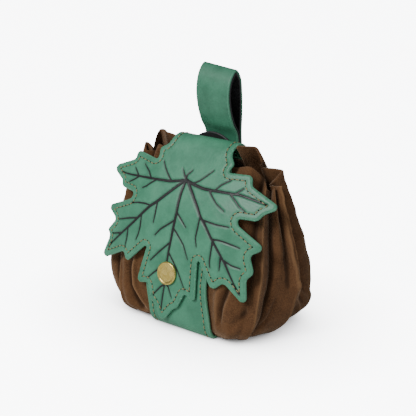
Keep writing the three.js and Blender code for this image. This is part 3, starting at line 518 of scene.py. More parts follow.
main_veins = [  # half width at the start and at the end, points across and below the vein centre, mm
    (1.0, 0.5, [
        (-3.2, 0.3), (-7.5, 1.9), (-15.1, 3.8), (-24.9, 4.6), (-31.2, 4.9), (-41.7, 5.2), (-52, 5.4),
        (-61, 4.8)
    ]),
    (1.1, 0.5, [
        (-3.2, 0.3), (-9.6, 7), (-15.5, 13.3), (-21.1, 19.2), (-25.3, 22.5), (-31.8, 29.6), (-38.1, 36.6),
        (-43.8, 42.4), (-48.9, 47.5), (-55, 54.1), (-59, 58.6)
    ]),
    (1.1, 0.5, [
        (-3.2, 0.3), (-3.8, 8.9), (-3.6, 16.1), (-3.1, 21.8), (-3.4, 27.1), (-3.7, 33.6), (-3.9, 40.2),
        (-4.2, 46.8), (-4.2, 54.7), (-3.4, 70.5), (-3.7, 78.6), (-3.9, 86.9)
    ]),
    (1.1, 0.5, [
        (-3.2, 0.3), (-1.1, 1.6), (4.7, 7.7), (11.6, 15.3), (15.8, 20.8), (20.9, 25.3), (26.1, 31),
        (29, 34.1), (35.4, 40.6), (39.8, 45.2), (44.5, 51.5), (50.7, 59.3), (52.3, 60.9)
    ]),
    (1.1, 0.5, [
        (-3.2, 0.3), (-1.3, 1), (5, 2.4), (11.8, 3.3), (18.9, 3.1), (26.5, 2.5), (32.2, 2.1), (39.1, 1.4),
        (46.1, 1.9), (53.1, 2.6), (57.9, 2.9)
    ]),
    (0.8, 0.35, [(-3.4, 0.3), (-5.9, -2.6), (-8.7, -6.4)]),
]
side_vein = (0.64, 0.46)
side_veins = [
    [(-31.3, 4.8), (-35.1, 0.6), (-41.1, -3.8)],
    [(-43, 5.2), (-49, -0.1)],
    [(-14.2, 3.6), (-19.8, -1.4), (-23.1, -5), (-25.6, -8.4)],
    [(-26.2, 4.8), (-30.6, 8.3), (-33.3, 10.8), (-36.5, 12.4)],
    [(-42, 5), (-46.4, 8.2), (-50.5, 10.6)],
    [(-25, 22.4), (-30, 22), (-36.6, 22.7), (-42.7, 24.3)],
    [(-34.2, 32.6), (-43.5, 35.1), (-52.4, 38)],
    [(-47.6, 46.2), (-56.3, 48.8)],
    [(-20.2, 18.6), (-20, 26.3), (-20.4, 32.7)],
    [(-31.6, 29.4), (-31, 37.5), (-31.6, 43.1), (-33, 47.2)],
    [(-42.3, 41), (-41.8, 48.5), (-42.4, 54.9)],
    [(-3.2, 21.6), (1.7, 25.9), (6.2, 29.7)],
    [(-3.4, 27.2), (-13.8, 35.4), (-17.5, 40.3)],
    [(-3.6, 32.2), (1.4, 36.3), (6.6, 40.9), (11.6, 48.9)],
    [(-4.1, 41.8), (-10.9, 48.9), (-17.8, 57.1)],
    [(-4.1, 48.2), (0.9, 53.4), (6.2, 59.1), (12.9, 68.4)],
    [(-4.2, 56.2), (-10.2, 61), (-14.5, 65.2), (-18.1, 69.3)],
    [(-3.5, 69.8), (-5.8, 71.2), (-11.8, 78.7)],
    [(-3.5, 68), (-0.1, 70.2), (3.5, 76.4)],
    [(17, 22.2), (28.8, 22.9), (37.7, 22.4)],
    [(27.4, 32.2), (33.6, 31.7), (41.4, 32.4), (47.4, 33.1)],
    [(37.2, 42.6), (43.9, 44.8), (50.1, 45.1)],
    [(15.6, 20.8), (15.3, 28.5), (14.9, 34.3), (16.8, 39.6)],
    [(28.1, 32.9), (28.3, 39.9), (28.5, 46.1), (29.6, 49.6)],
    [(35.5, 40.6), (35.9, 44.9), (36.3, 49.8)],
    [(3, 1.8), (7.5, -1.2), (11.4, -5.3), (15.1, -9.4)],
    [(20.4, 3), (24.1, -1.5), (28.1, -4.7), (29.9, -5.8)],
    [(35.4, 1.8), (38.2, -0.9), (40.2, -3.1)],
    [(16.3, 3.1), (20.5, 7), (25, 10.5), (31.7, 13.7)],
    [(31.8, 2.1), (37.1, 5.7), (40.9, 8.6), (45.7, 10.6)],
    [(-3.2, 0.3), (-3.7, -2.9), (-2.1, -4.6), (-0.6, -6.6)],
]


def off_band(height_share, side, standoff):
    """A flap row: the band's outer face at a height, on its front or back, and a distance outwards."""
    along = np.linspace(0, band_length, 4001)
    point, normal = band_at(along)
    facing = np.sign(normal[:, 0]) == side
    miss = np.where(facing, np.abs(point[:, 1] - height_share * body_height), np.inf)
    return tuple(point[miss.argmin()] + normal[miss.argmin()] * standoff)


off = clearance + flap_thickness
flap_at, flap_length = profile(
    [off_band(share, 1, off) for share in flap_back_rows]
    + [(depth_of(share), crown_height - down) for share, down in crown_rows]
    + [off_band(share, -1, off + slack) for share, slack in flap_front_rows]
)
tip_along = flap_length + flap_at(flap_length)[0][1] - tip_clearance
vein_centre_along = tip_along - leaf_length
neck_along = vein_centre_along - neck_share * leaf_length
tongue_start = max(0.0, neck_along - tongue_length)


def place_on_flap(across, along, depth):
    """Points of the flap: bent along its profile, its lobes curled back and the leaf swung sideways.

    The swing turns the flat pattern, more towards the tip. The curl grows past the band's edge with a
    power of the distance.
    """
    hanging = np.clip((along - vein_centre_along) / leaf_length + swing_start, 0, 1.35) / swing_reach
    swing = np.radians(leaf_swing) * hanging
    drop = hanging * swing_reach * leaf_length
    turned_across = across * np.cos(swing) - 0.5 * drop * np.sin(swing)
    point, normal = flap_at(along + across * np.sin(swing))
    free = smoothstep(along, vein_centre_along - swing_start * leaf_length, vein_centre_along)
    beyond = np.maximum(0, (np.abs(across) - band_width / 2) / (leaf_half_width - band_width / 2))
    curl = leaf_curl * free * beyond**curl_power
    point = point + normal * (depth - flap_thickness - curl)[..., None]
    return np.stack([turned_across, point[..., 0], point[..., 1]], -1)


def leaf_outline():
    """The flat outline: straight lines between the rows, each corner a circular arc.

    An arc starts and ends the row's rounding away from the corner, or a share of the shorter edge there.
    As a cubic its handles are 4/3 tan(turn/4) / tan(turn/2) of the way to the corner.
    """
    top = [(tongue_half_width, tongue_start, tongue_round), (crown_half_width, neck_along, neck_round)]

    def laid(rows):
        return [(a * leaf_half_width, vein_centre_along + d * leaf_length, r) for a, d, r in rows]

    left = [(-a, b, r) for a, b, r in top + laid(left_leaf_rows)]
    corners = np.array(top + laid(right_leaf_rows) + laid([leaf_tip]) + left[::-1])
    at, reach = corners[:, :2], corners[:, 2:]
    before, after = np.roll(at, 1, 0) - at, np.roll(at, -1, 0) - at
    far = [np.linalg.norm(v, axis=1, keepdims=True) for v in (before, after)]
    reach = np.minimum(reach, edge_share * np.minimum(*far))
    start, end = at + before / far[0] * reach, at + after / far[1] * reach
    turn = np.pi - np.arccos((before * after).sum(1, keepdims=True) / (far[0] * far[1]))
    pull = 4 / 3 * np.tan(turn / 4) / np.tan(turn / 2)
    handles = [(end_point + (at - end_point) * pull)[:, None] for end_point in (start, end)]
    s = np.linspace(0, 1, 13)[None, :, None]
    curve = start[:, None] * (1 - s) ** 3 + handles[0] * 3 * s * (1 - s) ** 2
    curve = curve + handles[1] * 3 * s**2 * (1 - s) + end[:, None] * s**3
    return curve.reshape(-1, 2)


def nearest_on(points, starts, ends):
    """For each point the nearest place on a set of segments, its distance, segment and share of it."""
    way = ends - starts
    best = np.full(len(points), np.inf)
    place, which, where = np.zeros((len(points), 2)), np.zeros(len(points), int), np.zeros(len(points))
    for k in range(len(starts)):
        share = np.clip(((points - starts[k]) @ way[k]) / (way[k] @ way[k]), 0, 1)
        spot = starts[k] + share[:, None] * way[k]
        gap = np.linalg.norm(points - spot, axis=1)
        closer = gap < best
        which[closer] = k
        for kept, found in ((best, gap), (place, spot), (where, share)):
            kept[closer] = found[closer]
    return place, best, which, where


def inside_of(points, outline):
    """Whether each point is inside a closed outline: an odd number of edges lies to its right."""
    a, b = outline, np.roll(outline, -1, 0)
    crossed = np.zeros(len(points), int)
    for k in range(len(a)):
        if a[k, 1] != b[k, 1]:
            between = (a[k, 1] > points[:, 1]) != (b[k, 1] > points[:, 1])
            at = a[k, 0] + (points[:, 1] - a[k, 1]) / (b[k, 1] - a[k, 1]) * (b[k, 0] - a[k, 0])
            crossed += between & (points[:, 0] < at)
    return crossed % 2 == 1


outline = leaf_outline()
cell = 0.68
snap_reach = 0.71 * cell
margin = 2.0
low, high = outline.min(0) - margin, outline.max(0) + margin
flat = np.stack(np.meshgrid(*(np.arange(low[k], high[k], cell) for k in (0, 1)), indexing="ij"), -1)
shape = flat.shape[:2]
flat = flat.reshape(-1, 2)
on_edge, gap, _, _ = nearest_on(flat, outline, np.roll(outline, -1, 0))
signed = np.where(inside_of(flat, outline), gap, -gap)
near = gap < snap_reach
centres = flat.reshape(*shape, 2)[:-1, :-1].reshape(-1, 2) + cell / 2
kept_centre = inside_of(centres, outline)
flat = np.where(near[:, None], on_edge, flat)
edge_gap = np.where(near, 0, signed)
n = np.arange(len(flat)).reshape(shape)
quads = np.stack([n[:-1, :-1], n[1:, :-1], n[1:, 1:], n[:-1, 1:]], -1).reshape(-1, 4)
quads = quads[kept_centre & (edge_gap[quads] >= 0).all(1)]
used = np.unique(quads)
number = np.full(len(flat), -1)
number[used] = np.arange(len(used))
quads, flat, edge_gap = number[quads], flat[used], edge_gap[used]

runs = []
for first, last, points in main_veins + [(*side_vein, points) for points in side_veins]:
    path = np.array(points, float) + (0, vein_centre_along)
    turn_at = np.linspace(0, 1, len(path))
    fine = np.linspace(0, 1, 6 * len(path))
    smooth = np.stack([np.interp(fine, turn_at, path[:, k]) for k in (0, 1)], -1)
    smooth[1:-1] = 0.25 * smooth[:-2] + 0.5 * smooth[1:-1] + 0.25 * smooth[2:]
    half = first + (last - first) * fine**2
    runs.append((smooth[:-1], smooth[1:], half[:-1], half[1:]))
starts, ends, wide, tapered = (np.concatenate(column) for column in zip(*runs))
far_away = 99.0
vein_gap = np.full(len(flat), far_away)
for k in range(len(starts)):
    close = np.abs(flat - (starts[k] + ends[k]) / 2).max(1) < 12
    _, gap, _, share = nearest_on(flat[close], starts[k : k + 1], ends[k : k + 1])
    vein_gap[close] = np.minimum(vein_gap[close], gap - wide[k] - (tapered[k] - wide[k]) * share)

outer, inner = rounded_faces(edge_gap, flap_thickness, leaf_rounding * flap_thickness)
outer = outer - vein_depth * smoothstep(-vein_gap, -0.45, 0.35)
outer = outer + vein_ridge * np.exp(-(((vein_gap - 1.0) / 0.6) ** 2))
outer = outer - leaf_groove * np.exp(-(((edge_gap - stitch_inset) / groove_width) ** 2))
top = place_on_flap(flat[:, 0], flat[:, 1], outer)
under = place_on_flap(flat[:, 0], flat[:, 1], inner)
sides = np.vstack([quads[:, [k, (k + 1) % 4]] for k in range(4)])
key = np.sort(sides, 1) @ np.array([len(flat), 1])
_, first_seen, seen = np.unique(key, return_index=True, return_counts=True)
rim = sides[first_seen[seen == 1]]
faces = np.vstack(
    [
        quads[:, ::-1],
        quads + len(flat),
        np.stack([rim[:, 0], rim[:, 1], rim[:, 1] + len(flat), rim[:, 0] + len(flat)], -1),
    ]
)
vein_gap = np.stack([vein_gap, np.full(len(flat), far_away)])
edge_gap = np.stack([edge_gap, edge_gap])
green = (0.054, 0.235, 0.135), (0.084, 0.325, 0.19), (0.13, 0.4, 0.25)
leaf_leather = leather("leaf_leather", *green, 0.44, veins=True)
points = np.stack([top, under])
leaf = mesh_object("leaf_leather", points, faces, leaf_leather, edge_gap=edge_gap, vein_gap=vein_gap)
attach(leaf, "root")
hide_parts("leaf_flap")

# Stitching of the leaf: the same tan thread, 4 mm inside the whole outline.

middle = (outline + np.roll(outline, -1, 0)) / 2
way = np.roll(outline, -1, 0) - outline
long_enough = np.linalg.norm(way, axis=1) > 1e-6
middle, way = middle[long_enough], way[long_enough]
dense_middle, dense_way = [], []
for a, w in zip(middle - way / 2, way):
    pieces = max(1, int(np.linalg.norm(w) / 0.8))
    shares = (np.arange(pieces) + 0.5) / pieces
    dense_middle.append(a + shares[:, None] * w)
    dense_way.append(np.repeat(w[None], pieces, 0))
dense_middle, dense_way = np.vstack(dense_middle), np.vstack(dense_way)
dense_way /= np.linalg.norm(dense_way, axis=1, keepdims=True)
inset = dense_middle + stitch_inset * np.stack([-dense_way[:, 1], dense_way[:, 0]], -1)
_, gap, _, _ = nearest_on(inset, outline, np.roll(outline, -1, 0))
inset = inset[(gap > stitch_inset - 0.06) & inside_of(inset, outline)]
inset = np.vstack([inset, inset[:1]])
groove_top = flap_thickness - leaf_groove
for piece in stitched("leaf_stitch", [inset], place_on_flap, groove_top, thread, painted_hole_shade):
    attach(piece, "root")

# Snap: a satin brass cap with a bevelled raised rim on the leaf, its post and washer hidden behind.

snap_diameter = 15.0
snap_head = 1.8
snap_from_centre = 61.5
snap_offset = -2.0
snap_at = np.array([snap_offset]), np.array([vein_centre_along + snap_from_centre])
snap_top = place_on_flap(*snap_at, np.array([flap_thickness]))[0]
snap_under = place_on_flap(*snap_at, np.array([0.0]))[0]
snap_axis = (snap_top - snap_under) / np.linalg.norm(snap_top - snap_under)
snap_rows = np.array(  # share of the cap's radius, share of its height above the leaf
    [
        (0.0, -1.9),
        (0.6, -1.9),
        (0.6, -1.5),
        (0.27, -1.4),
        (0.27, 0.05),
        (0.94, 0.08),
        (0.985, 0.13),
        (1.0, 0.25),
        (1.0, 0.6),
        (0.985, 0.82),
        (0.95, 0.96),
        (0.9, 1.0),
        (0.86, 0.98),
        (0.82, 0.9),
        (0.77, 0.82),
        (0.7, 0.8),
        (0.45, 0.81),
        (0.2, 0.82),
        (0.0, 0.82),
    ]
)


def brass_material():
    """Satin brass with a little tarnish, duller and redder where it is."""
    material = plain_material("brass", (0.82, 0.64, 0.2), Metallic=1.0)
    tree = material.node_tree
    place = node(tree, "TexCoord", {}).outputs["Object"]
    stain = noise(tree, place, 300.0, 4.0)
    colour = mixed(tree, band_between(tree, stain, 0.4, 0.7), (0.82, 0.64, 0.2, 1), (0.7, 0.53, 0.14, 1))
    rough = band_between(tree, stain, 0.3, 0.7, 0.2, 0.36)
    return joined(material, Base_Color=colour, Roughness=rough)


turns = 64
angle = np.arange(turns) / turns * 2 * np.pi
side_one = np.cross(snap_axis, (1.0, 0.0, 0.0))
side_one /= np.linalg.norm(side_one)
side_two = np.cross(snap_axis, side_one)
spokes = np.cos(angle)[:, None] * side_one + np.sin(angle)[:, None] * side_two
radius, height = snap_rows[1:-1, 0] * snap_diameter / 2, snap_rows[1:-1, 1] * snap_head
rings = snap_top + spokes[None] * radius[:, None, None] + snap_axis * height[:, None, None]
poles = snap_top + np.stack([snap_axis * snap_rows[k, 1] * snap_head for k in (0, -1)])
n = np.arange(rings.shape[0] * turns).reshape(-1, turns)
after = np.roll(n, -1, 1)
wall = np.stack([n[:-1], after[:-1], after[1:], n[1:]], -1).reshape(-1, 4).tolist()
bottom = [[n.size, after[0][k], n[0][k]] for k in range(turns)]
cover = [[n.size + 1, n[-1][k], after[-1][k]] for k in range(turns)]
snap = mesh_object(
    "snap_cap",
    np.vstack([rings.reshape(-1, 3), poles]),
    np.array(wall + bottom + cover, dtype=object),
    brass_material(),
)
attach(snap, "root")
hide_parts("snap_button")

# Suede sides: soft brown suede, gathered in pleats at the mouth and sewn to both edges of the band.
# Each side is a shell that reaches under the band's edges.

right_reach = 44.0
left_reach = 48.0
rim_height = 99.0
gather_depth = 4.2
suede_thickness = 1.6
seam_clearance = 0.6
seam_allowance = 8.0
suede_inset = band_thickness + seam_clearance
round_span = 130.0
seam_span = 150.0
right_rows = np.array(  # seam, reach, height, front and back bulge, squareness, pleat
    [
        (0.0, 0.0, 0.02, 0, 0, 0.8, 0),
        (0.12, 0.26, 0.012, 1, 1, 0.75, 0),
        (0.22, 0.48, 0.012, 2, 1, 0.78, 0.1),
        (0.3, 0.72, 0.1, 4, 2, 0.82, 0.5),
        (0.37, 0.89, 0.21, 4, 2, 0.88, 0.8),
        (0.46, 0.98, 0.35, 2, 2, 0.94, 1.0),
        (0.55, 0.97, 0.48, 0, 2, 1.0, 1.05),
        (0.68, 0.88, 0.66, 0, 2, 1.0, 1.0),
        (0.84, 0.75, 0.85, -1, 3, 1.0, 1.0),
        (1.0, 0.64, 1.0, 0, 7, 1.0, 1.0),
    ]
)
left_rows = np.array(
    [
        (0.0, 0.0, 0.02, 0, 0, 0.8, 0),
        (0.12, 0.3, 0.008, 1, 1, 0.75, 0),
        (0.24, 0.64, 0.004, 2, 1, 0.75, 0.08),
        (0.3, 0.86, 0.07, 4, 2, 0.8, 0.6),
        (0.37, 0.97, 0.19, 4, 2, 0.86, 1.0),
        (0.46, 0.99, 0.34, 2, 2, 0.92, 1.05),
        (0.55, 0.96, 0.48, 0, 2, 1.0, 0.95),
        (0.68, 0.88, 0.66, 0, 2, 1.0, 0.95),
        (0.84, 0.75, 0.85, -1, 3, 1.0, 1.0),
        (1.0, 0.64, 1.0, 0, 7, 1.0, 1.0),
    ]
)
right_pleats = np.array(  # place at rim and bottom, height at rim, rise, height at bottom, sharpness, curl
    [
        (0.0, 0.0, 0, 0, 0, 0, 0),
        (0.14, 0.08, 0.6, 0.025, 0.2, 0, 0),
        (0.25, 0.17, -0.7, -0.01, -0.3, 1, 0),
        (0.3, 0.235, 0.7, -0.075, 0.7, 1.3, 0),
        (0.35, 0.27, -1.1, -0.075, -0.9, 1.5, 0),
        (0.41, 0.34, 0.6, -0.05, -0.3, 0.3, 0),
        (0.455, 0.38, -0.7, -0.05, 0.1, 1.0, 0),
        (0.5, 0.43, 1, -0.03, 1.2, 1.5, 0),
        (0.58, 0.55, -0.9, -0.03, -1.1, 0.2, 0),
        (0.68, 0.67, 1.1, 0.01, 0.7, 0, 0.01),
        (0.79, 0.78, -1, 0.02, -0.7, 0.8, 0.02),
        (0.89, 0.89, 1, 0.1, 0.5, 0, 0.08),
        (0.97, 0.96, 0.2, 0.12, 0.0, 0, 0.13),
        (1.0, 1.0, 0, 0, 0, 0, 0),
    ]
)
left_pleats = np.array(
    [
        (0.0, 0.0, 0, 0, 0, 0, 0),
        (0.12, 0.12, 0.4, 0.05, 0.3, 0, 0),
        (0.21, 0.21, -1, 0.02, -0.7, 1.2, 0),
        (0.3, 0.29, 0.8, 0, 0.9, 0.8, 0),
        (0.37, 0.36, -1, -0.02, -0.9, 1.3, 0),
        (0.44, 0.44, 1, -0.02, 1.0, 0.6, 0),
        (0.5, 0.51, -1, -0.03, -0.8, 1.0, 0),
        (0.58, 0.6, 1, 0.045, 0.7, 0, 0),
        (0.66, 0.68, -1, 0.03, -0.6, 1.0, 0),
        (0.74, 0.76, 1.3, 0.1, 0.6, 0, 0.02),
        (0.85, 0.86, -0.3, 0.1, -0.4, 0.6, 0.03),
        (0.94, 0.94, 0.4, 0.07, 0.3, 0, 0.03),
        (1.0, 1.0, 0, 0, 0, 0, 0),
    ]
)
right_creases = [  # depth and half width in mm, then points (round, seam)
    (1.5, 2.4, [(0.111, 0.329), (0.163, 0.367), (0.216, 0.402)]),
    (2.8, 1.7, [(0.123, 0.53), (0.095, 0.463), (0.062, 0.4), (0.045, 0.335)]),
    (-1.6, 2.2, [(0.1, 0.56), (0.06, 0.47), (0.025, 0.39), (0.02, 0.3)]),
    (0.9, 1.8, [(0.31, 0.3), (0.35, 0.36), (0.38, 0.44)]),
    (-2.6, 1.5, [
        (0.48, 0.9), (0.462, 0.74), (0.45, 0.6), (0.455, 0.5), (0.5, 0.41), (0.57, 0.34), (0.62, 0.28)
    ]),
    (5.2, 3.4, [(0.53, 0.92), (0.53, 0.74), (0.525, 0.6), (0.54, 0.5), (0.6, 0.42), (0.68, 0.36)]),
    (1.0, 2.4, [(0.74, 0.32), (0.7, 0.42), (0.69, 0.52)]),
]
left_creases = [
    (6.5, 4.0, [(0.14, 0.57), (0.118, 0.46), (0.106, 0.38), (0.078, 0.33), (0.035, 0.27)]),
    (-2.2, 1.6, [(0.08, 0.57), (0.072, 0.46), (0.064, 0.38), (0.035, 0.33), (0.01, 0.3)]),
    (-2.6, 2.0, [(0.22, 0.54), (0.2, 0.43), (0.19, 0.33), (0.17, 0.25), (0.13, 0.17)]),
    (1.6, 2.0, [(0.25, 0.54), (0.235, 0.43), (0.225, 0.33), (0.21, 0.25)]),
    (1.0, 2.4, [(0.72, 0.34), (0.7, 0.44), (0.69, 0.54)]),
]


def from_rows(rows, column, seam):
    """A column of a side's rows at places along the seam: cubics with slopes from the next rows."""
    place, value = rows[:, 0], rows[:, column]
    k = np.clip(np.searchsorted(place, seam, side="right") - 1, 0, len(place) - 2)
    low, high = np.maximum(k - 1, 0), np.minimum(k + 2, len(place) - 1)
    span = place[k + 1] - place[k]
    s = (seam - place[k]) / span
    m0 = span * (value[k + 1] - value[low]) / (place[k + 1] - place[low])
    m1 = span * (value[high] - value[k]) / (place[high] - place[k])
    start, end = value[k] * (2 * s**3 - 3 * s**2 + 1), value[k + 1] * (3 * s**2 - 2 * s**3)
    return start + m0 * (s**3 - 2 * s**2 + s) + end + m1 * (s**3 - s**2)


def pleat_wave(pleats, column, round_, seam):
    """Height, rise or curl of the pleats round a side: a cubic from row to row.

    The height goes from its value at the bottom to the one at the rim. At each row the cubic's slope is
    the row's sharpness times that of the straight line: 0 is round and above 1 is a crease.
    """
    up = smoothstep(seam, 0.35, 0.95) if column == 2 else 1.0
    value = [row[column] * up + row[4] * (1 - up) for row in pleats]
    total = np.zeros(np.shape(round_)) + value[0]
    for k in range(len(pleats) - 1):
        a, b = pleats[k], pleats[k + 1]
        start, end = a[1] + (a[0] - a[1]) * seam, b[1] + (b[0] - b[1]) * seam
        s = np.clip((round_ - start) / (end - start), 0, 1)
        shape = a[5] * (s**3 - 2 * s**2 + s) + 3 * s**2 - 2 * s**3 + b[5] * (s**3 - s**2)
        total = total + (value[k + 1] - value[k]) * shape
    return total


pole_along = np.linspace(0, band_length, 4001)
pole_along = pole_along[np.linalg.norm(band_at(pole_along)[0], axis=1).argmin()]


def band_at_seam(seam, way):
    """The band's outer face and normal, a distance along from the bottom: way is -1 for the front."""
    room = pole_along if way < 0 else band_length - pole_along
    return band_at(pole_along + way * seam * room)


def seam_point(seam, way):
    """A seam of the suede: the band's outer face, a distance in, from the bottom to the mouth."""
    point, normal = band_at_seam(seam, way)
    return point - normal * suede_inset


def side_form(side, round_, seam):
    """Smooth form of a side: at each place along the seam a section that joins the two seams.

    A section is a superellipse: out is the cosine and swing the sine of its angle, both to the power
    of the squareness. It stands out by the reach, bulges front and back, and its height goes from the
    side's own to the seam's with the power 1.6 of the swing.
    """
    rows, reach = side
    front, back = seam_point(seam, -1), seam_point(seam, 1)
    theta = (round_ - 0.5) * np.pi
    square = from_rows(rows, 5, seam)
    out = np.abs(np.cos(theta)) ** square
    swing = np.sign(theta) * np.abs(np.sin(theta)) ** square
    middle_y, half_y = (front[..., 0] + back[..., 0]) / 2, (back[..., 0] - front[..., 0]) / 2
    seam_z = np.where(theta < 0, front[..., 1], back[..., 1])
    side_z = from_rows(rows, 2, seam) * rim_height
    bulge = np.where(theta < 0, from_rows(rows, 3, seam), from_rows(rows, 4, seam)) * np.minimum(1, out * 1.8)
    return np.stack(
        [
            band_width / 2 + from_rows(rows, 1, seam) * reach * out,
            middle_y + (half_y + bulge) * swing,
            side_z + (seam_z - side_z) * np.abs(swing) ** 1.6,
        ],
        -1,
    )


def side_normal(side, round_, seam):
    """Outward normal of the smooth form, from its two slopes; it becomes the band's own at the seams."""
    step, long_step = 0.004, 0.03
    s, r = np.maximum(seam, long_step), np.clip(round_, step, 1 - step)
    along = side_form(side, r, np.minimum(1, s + long_step)) - side_form(side, r, s - long_step)
    across = side_form(side, r + step, s) - side_form(side, r - step, s)
    normal = np.cross(across, along)
    normal /= np.linalg.norm(normal, axis=-1, keepdims=True)
    front, back = band_at_seam(seam, -1)[1], band_at_seam(seam, 1)[1]
    edge = np.where((round_ < 0.5)[..., None], front, back)
    edge = np.concatenate([np.zeros(edge.shape[:-1] + (1,)), edge], -1)
    free = smoothstep(np.minimum(round_, 1 - round_), 0, 0.06)[..., None]
    normal = normal * free + edge * (1 - free)
    return normal / np.linalg.norm(normal, axis=-1, keepdims=True)


def creased(creases, round_, seam):
    """Height of the creases: a bell-shaped line along each, fading towards both ends.

    Places are in millimetres of cloth: the shares times the lengths round a side and up its seam.
    """
    total = np.zeros(np.shape(round_))
    flat = np.stack([round_ * round_span, seam * seam_span], -1).reshape(-1, 2)
    for depth, wide, points in creases:
        path = np.array(points) * (round_span, seam_span)
        _, gap, which, share = nearest_on(flat, path[:-1], path[1:])
        run = (which + share) / (len(path) - 1)
        fade = np.clip(4 * run * (1 - run), 0, 1) ** 0.5
        total -= (depth * fade * np.exp(-((gap / wide) ** 2))).reshape(total.shape)
    return total


def ripples(seed, round_, seam):
    """Small soft dents: a sum of sine waves of random directions and phases."""
    random = np.random.default_rng(seed)
    total = np.zeros(np.shape(round_))
    for _ in range(26):
        length = random.uniform(7, 22)
        turn, phase = random.uniform(0, np.pi), random.uniform(0, 2 * np.pi)
        run = round_ * round_span * np.cos(turn) + seam * seam_span * np.sin(turn)
        total += length / 22 * np.sin(run / length * 2 * np.pi + phase)
    return total * 0.085


def suede_material():
    """Suede: a mottled brushed nap with a soft sheen, with painted shade in the folds and painted highlights
    on their crests.
    """
    material = plain_material(
        "brown_suede",
        (0.128, 0.057, 0.024),
        Roughness=0.95,
        Specular_IOR_Level=0.15,
        Sheen_Weight=0.42,
        Sheen_Roughness=0.5,
        Sheen_Tint=(0.85, 0.64, 0.46, 1),
    )
    tree = material.node_tree
    place = node(tree, "TexCoord", {}).outputs["Object"]
    brushed = noise(tree, place, 90.0, 6.0, 0.65)
    nap = noise(tree, place, 1500.0, 4.0, 0.7)
    blotch = band_between(tree, brushed, 0.3, 0.7)
    colour = mixed(tree, blotch, (0.058, 0.025, 0.011, 1), (0.128, 0.057, 0.024, 1))
    colour = mixed(tree, band_between(tree, nap, 0.35, 0.7), colour, (0.165, 0.08, 0.034, 1))
    # Painted shade: darker colour in the hollows between the pleats.
    colour = mixed(tree, stored(tree, "painted_fold_shade"), colour, (0.024, 0.01, 0.004, 1))
    # Painted highlight: paler colour on the crests of the pleats.
    colour = mixed(tree, stored(tree, "painted_crest_highlight"), colour, (0.27, 0.145, 0.068, 1))
    height = calculated(tree, "ADD", nap, brushed)
    bump = node(tree, "Bump", {"Height": height, "Strength": 0.6, "Distance": 0.0006}).outputs[0]
    return joined(material, Base_Color=colour, Normal=bump)


def suede_side(name, side, pleats, creases, hand, seed, material):
    """One side: outer and inner grids of round by seam, tucked under the band at both seams.

    The pleats stand off the smooth form along its normal, higher towards the mouth. The rim rises with
    the sixth power of the way along the seam and curls forward with the 14th, and the wall is thicker
    where a pleat is steep.
    """
    rounds = np.linspace(0, 1, 250)
    seams = np.concatenate([[0], np.linspace(0.02, 1, 170)])
    tucked = np.concatenate([[0.0], rounds, [1.0]])
    round_, seam = np.meshgrid(tucked, seams)

    def wave(r):
        fade = smoothstep(np.minimum(r, 1 - r), 0, 0.05) * smoothstep(seam, 0.1, 0.3)
        extra = creased(creases, r, seam) + ripples(seed, r, seam)
        return gather_depth * from_rows(side[0], 6, seam) * pleat_wave(pleats, 2, r, seam) + extra * fade

    step = 0.004
    ahead, behind = np.minimum(1, round_ + step), np.maximum(0, round_ - step)
    width = np.linalg.norm(side_form(side, ahead, seam) - side_form(side, behind, seam), axis=-1)
    slope = np.abs(wave(ahead) - wave(behind)) / np.maximum(width, 0.4)
    wall = suede_thickness * np.minimum(1.8, np.hypot(1, slope))
    form, normal = side_form(side, round_, seam), side_normal(side, round_, seam)
    rise = rim_height * seam**6 * pleat_wave(pleats, 3, round_, seam)
    curl = rim_height * seam**14 * pleat_wave(pleats, 6, round_, seam)
    height = wave(round_)
    # Painted shade: how far the surface lies below its neighbours darkens the colour in the pleats' valleys.
    beside = 0.5 * (wave(np.minimum(1, round_ + 0.04)) + wave(np.maximum(0, round_ - 0.04)))
    painted_fold_shade = 0.85 * smoothstep(beside - height, 0.3, 2.8)
    # Painted highlight: how far the surface stands above its neighbours pales the colour on the crests.
    beside = 0.5 * (wave(np.minimum(1, round_ + 0.015)) + wave(np.maximum(0, round_ - 0.015)))
    painted_crest_highlight = 0.6 * smoothstep(height - beside, 0.3, 1.6)
    grids = []
    for depth in (0, 1):
        points = form + normal * (height - depth * wall)[..., None]
        points[..., 1] -= curl
        points[..., 2] = np.maximum(points[..., 2] + rise, depth * wall)
        points[:, [0, -1], 0] -= seam_allowance
        points[0, 1:-1] = points[0, 1]
        points[0, [0, -1]] = points[0, 1] - (seam_allowance, 0, 0)
        points[..., 0] = points[..., 0] * hand + lean_at(points[..., 2])
        grids.append(points)
    faces = sheet_faces(*round_.shape)
    faces = faces if hand > 0 else faces[:, ::-1]
    shade = {"painted_fold_shade": np.stack([painted_fold_shade, painted_fold_shade]), "painted_crest_highlight": np.stack([painted_crest_highlight, painted_crest_highlight])}
    return mesh_object(name, np.stack(grids), faces, material, **shade)


brown_suede = suede_material()
for hand, name, node_name, side, pleats, creases, seed in (
    (1, "suede_right", "suede_side_right", (right_rows, right_reach), right_pleats, right_creases, 4),
    (-1, "suede_left", "suede_side_left", (left_rows, left_reach), left_pleats, left_creases, 9),
):
    piece = suede_side(name, side, pleats, creases, hand, seed, brown_suede)
    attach(piece, "root")
    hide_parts(node_name)

# Belt loop: a green leather strap folded over, its two ends sewn one over the other to the flap's back.

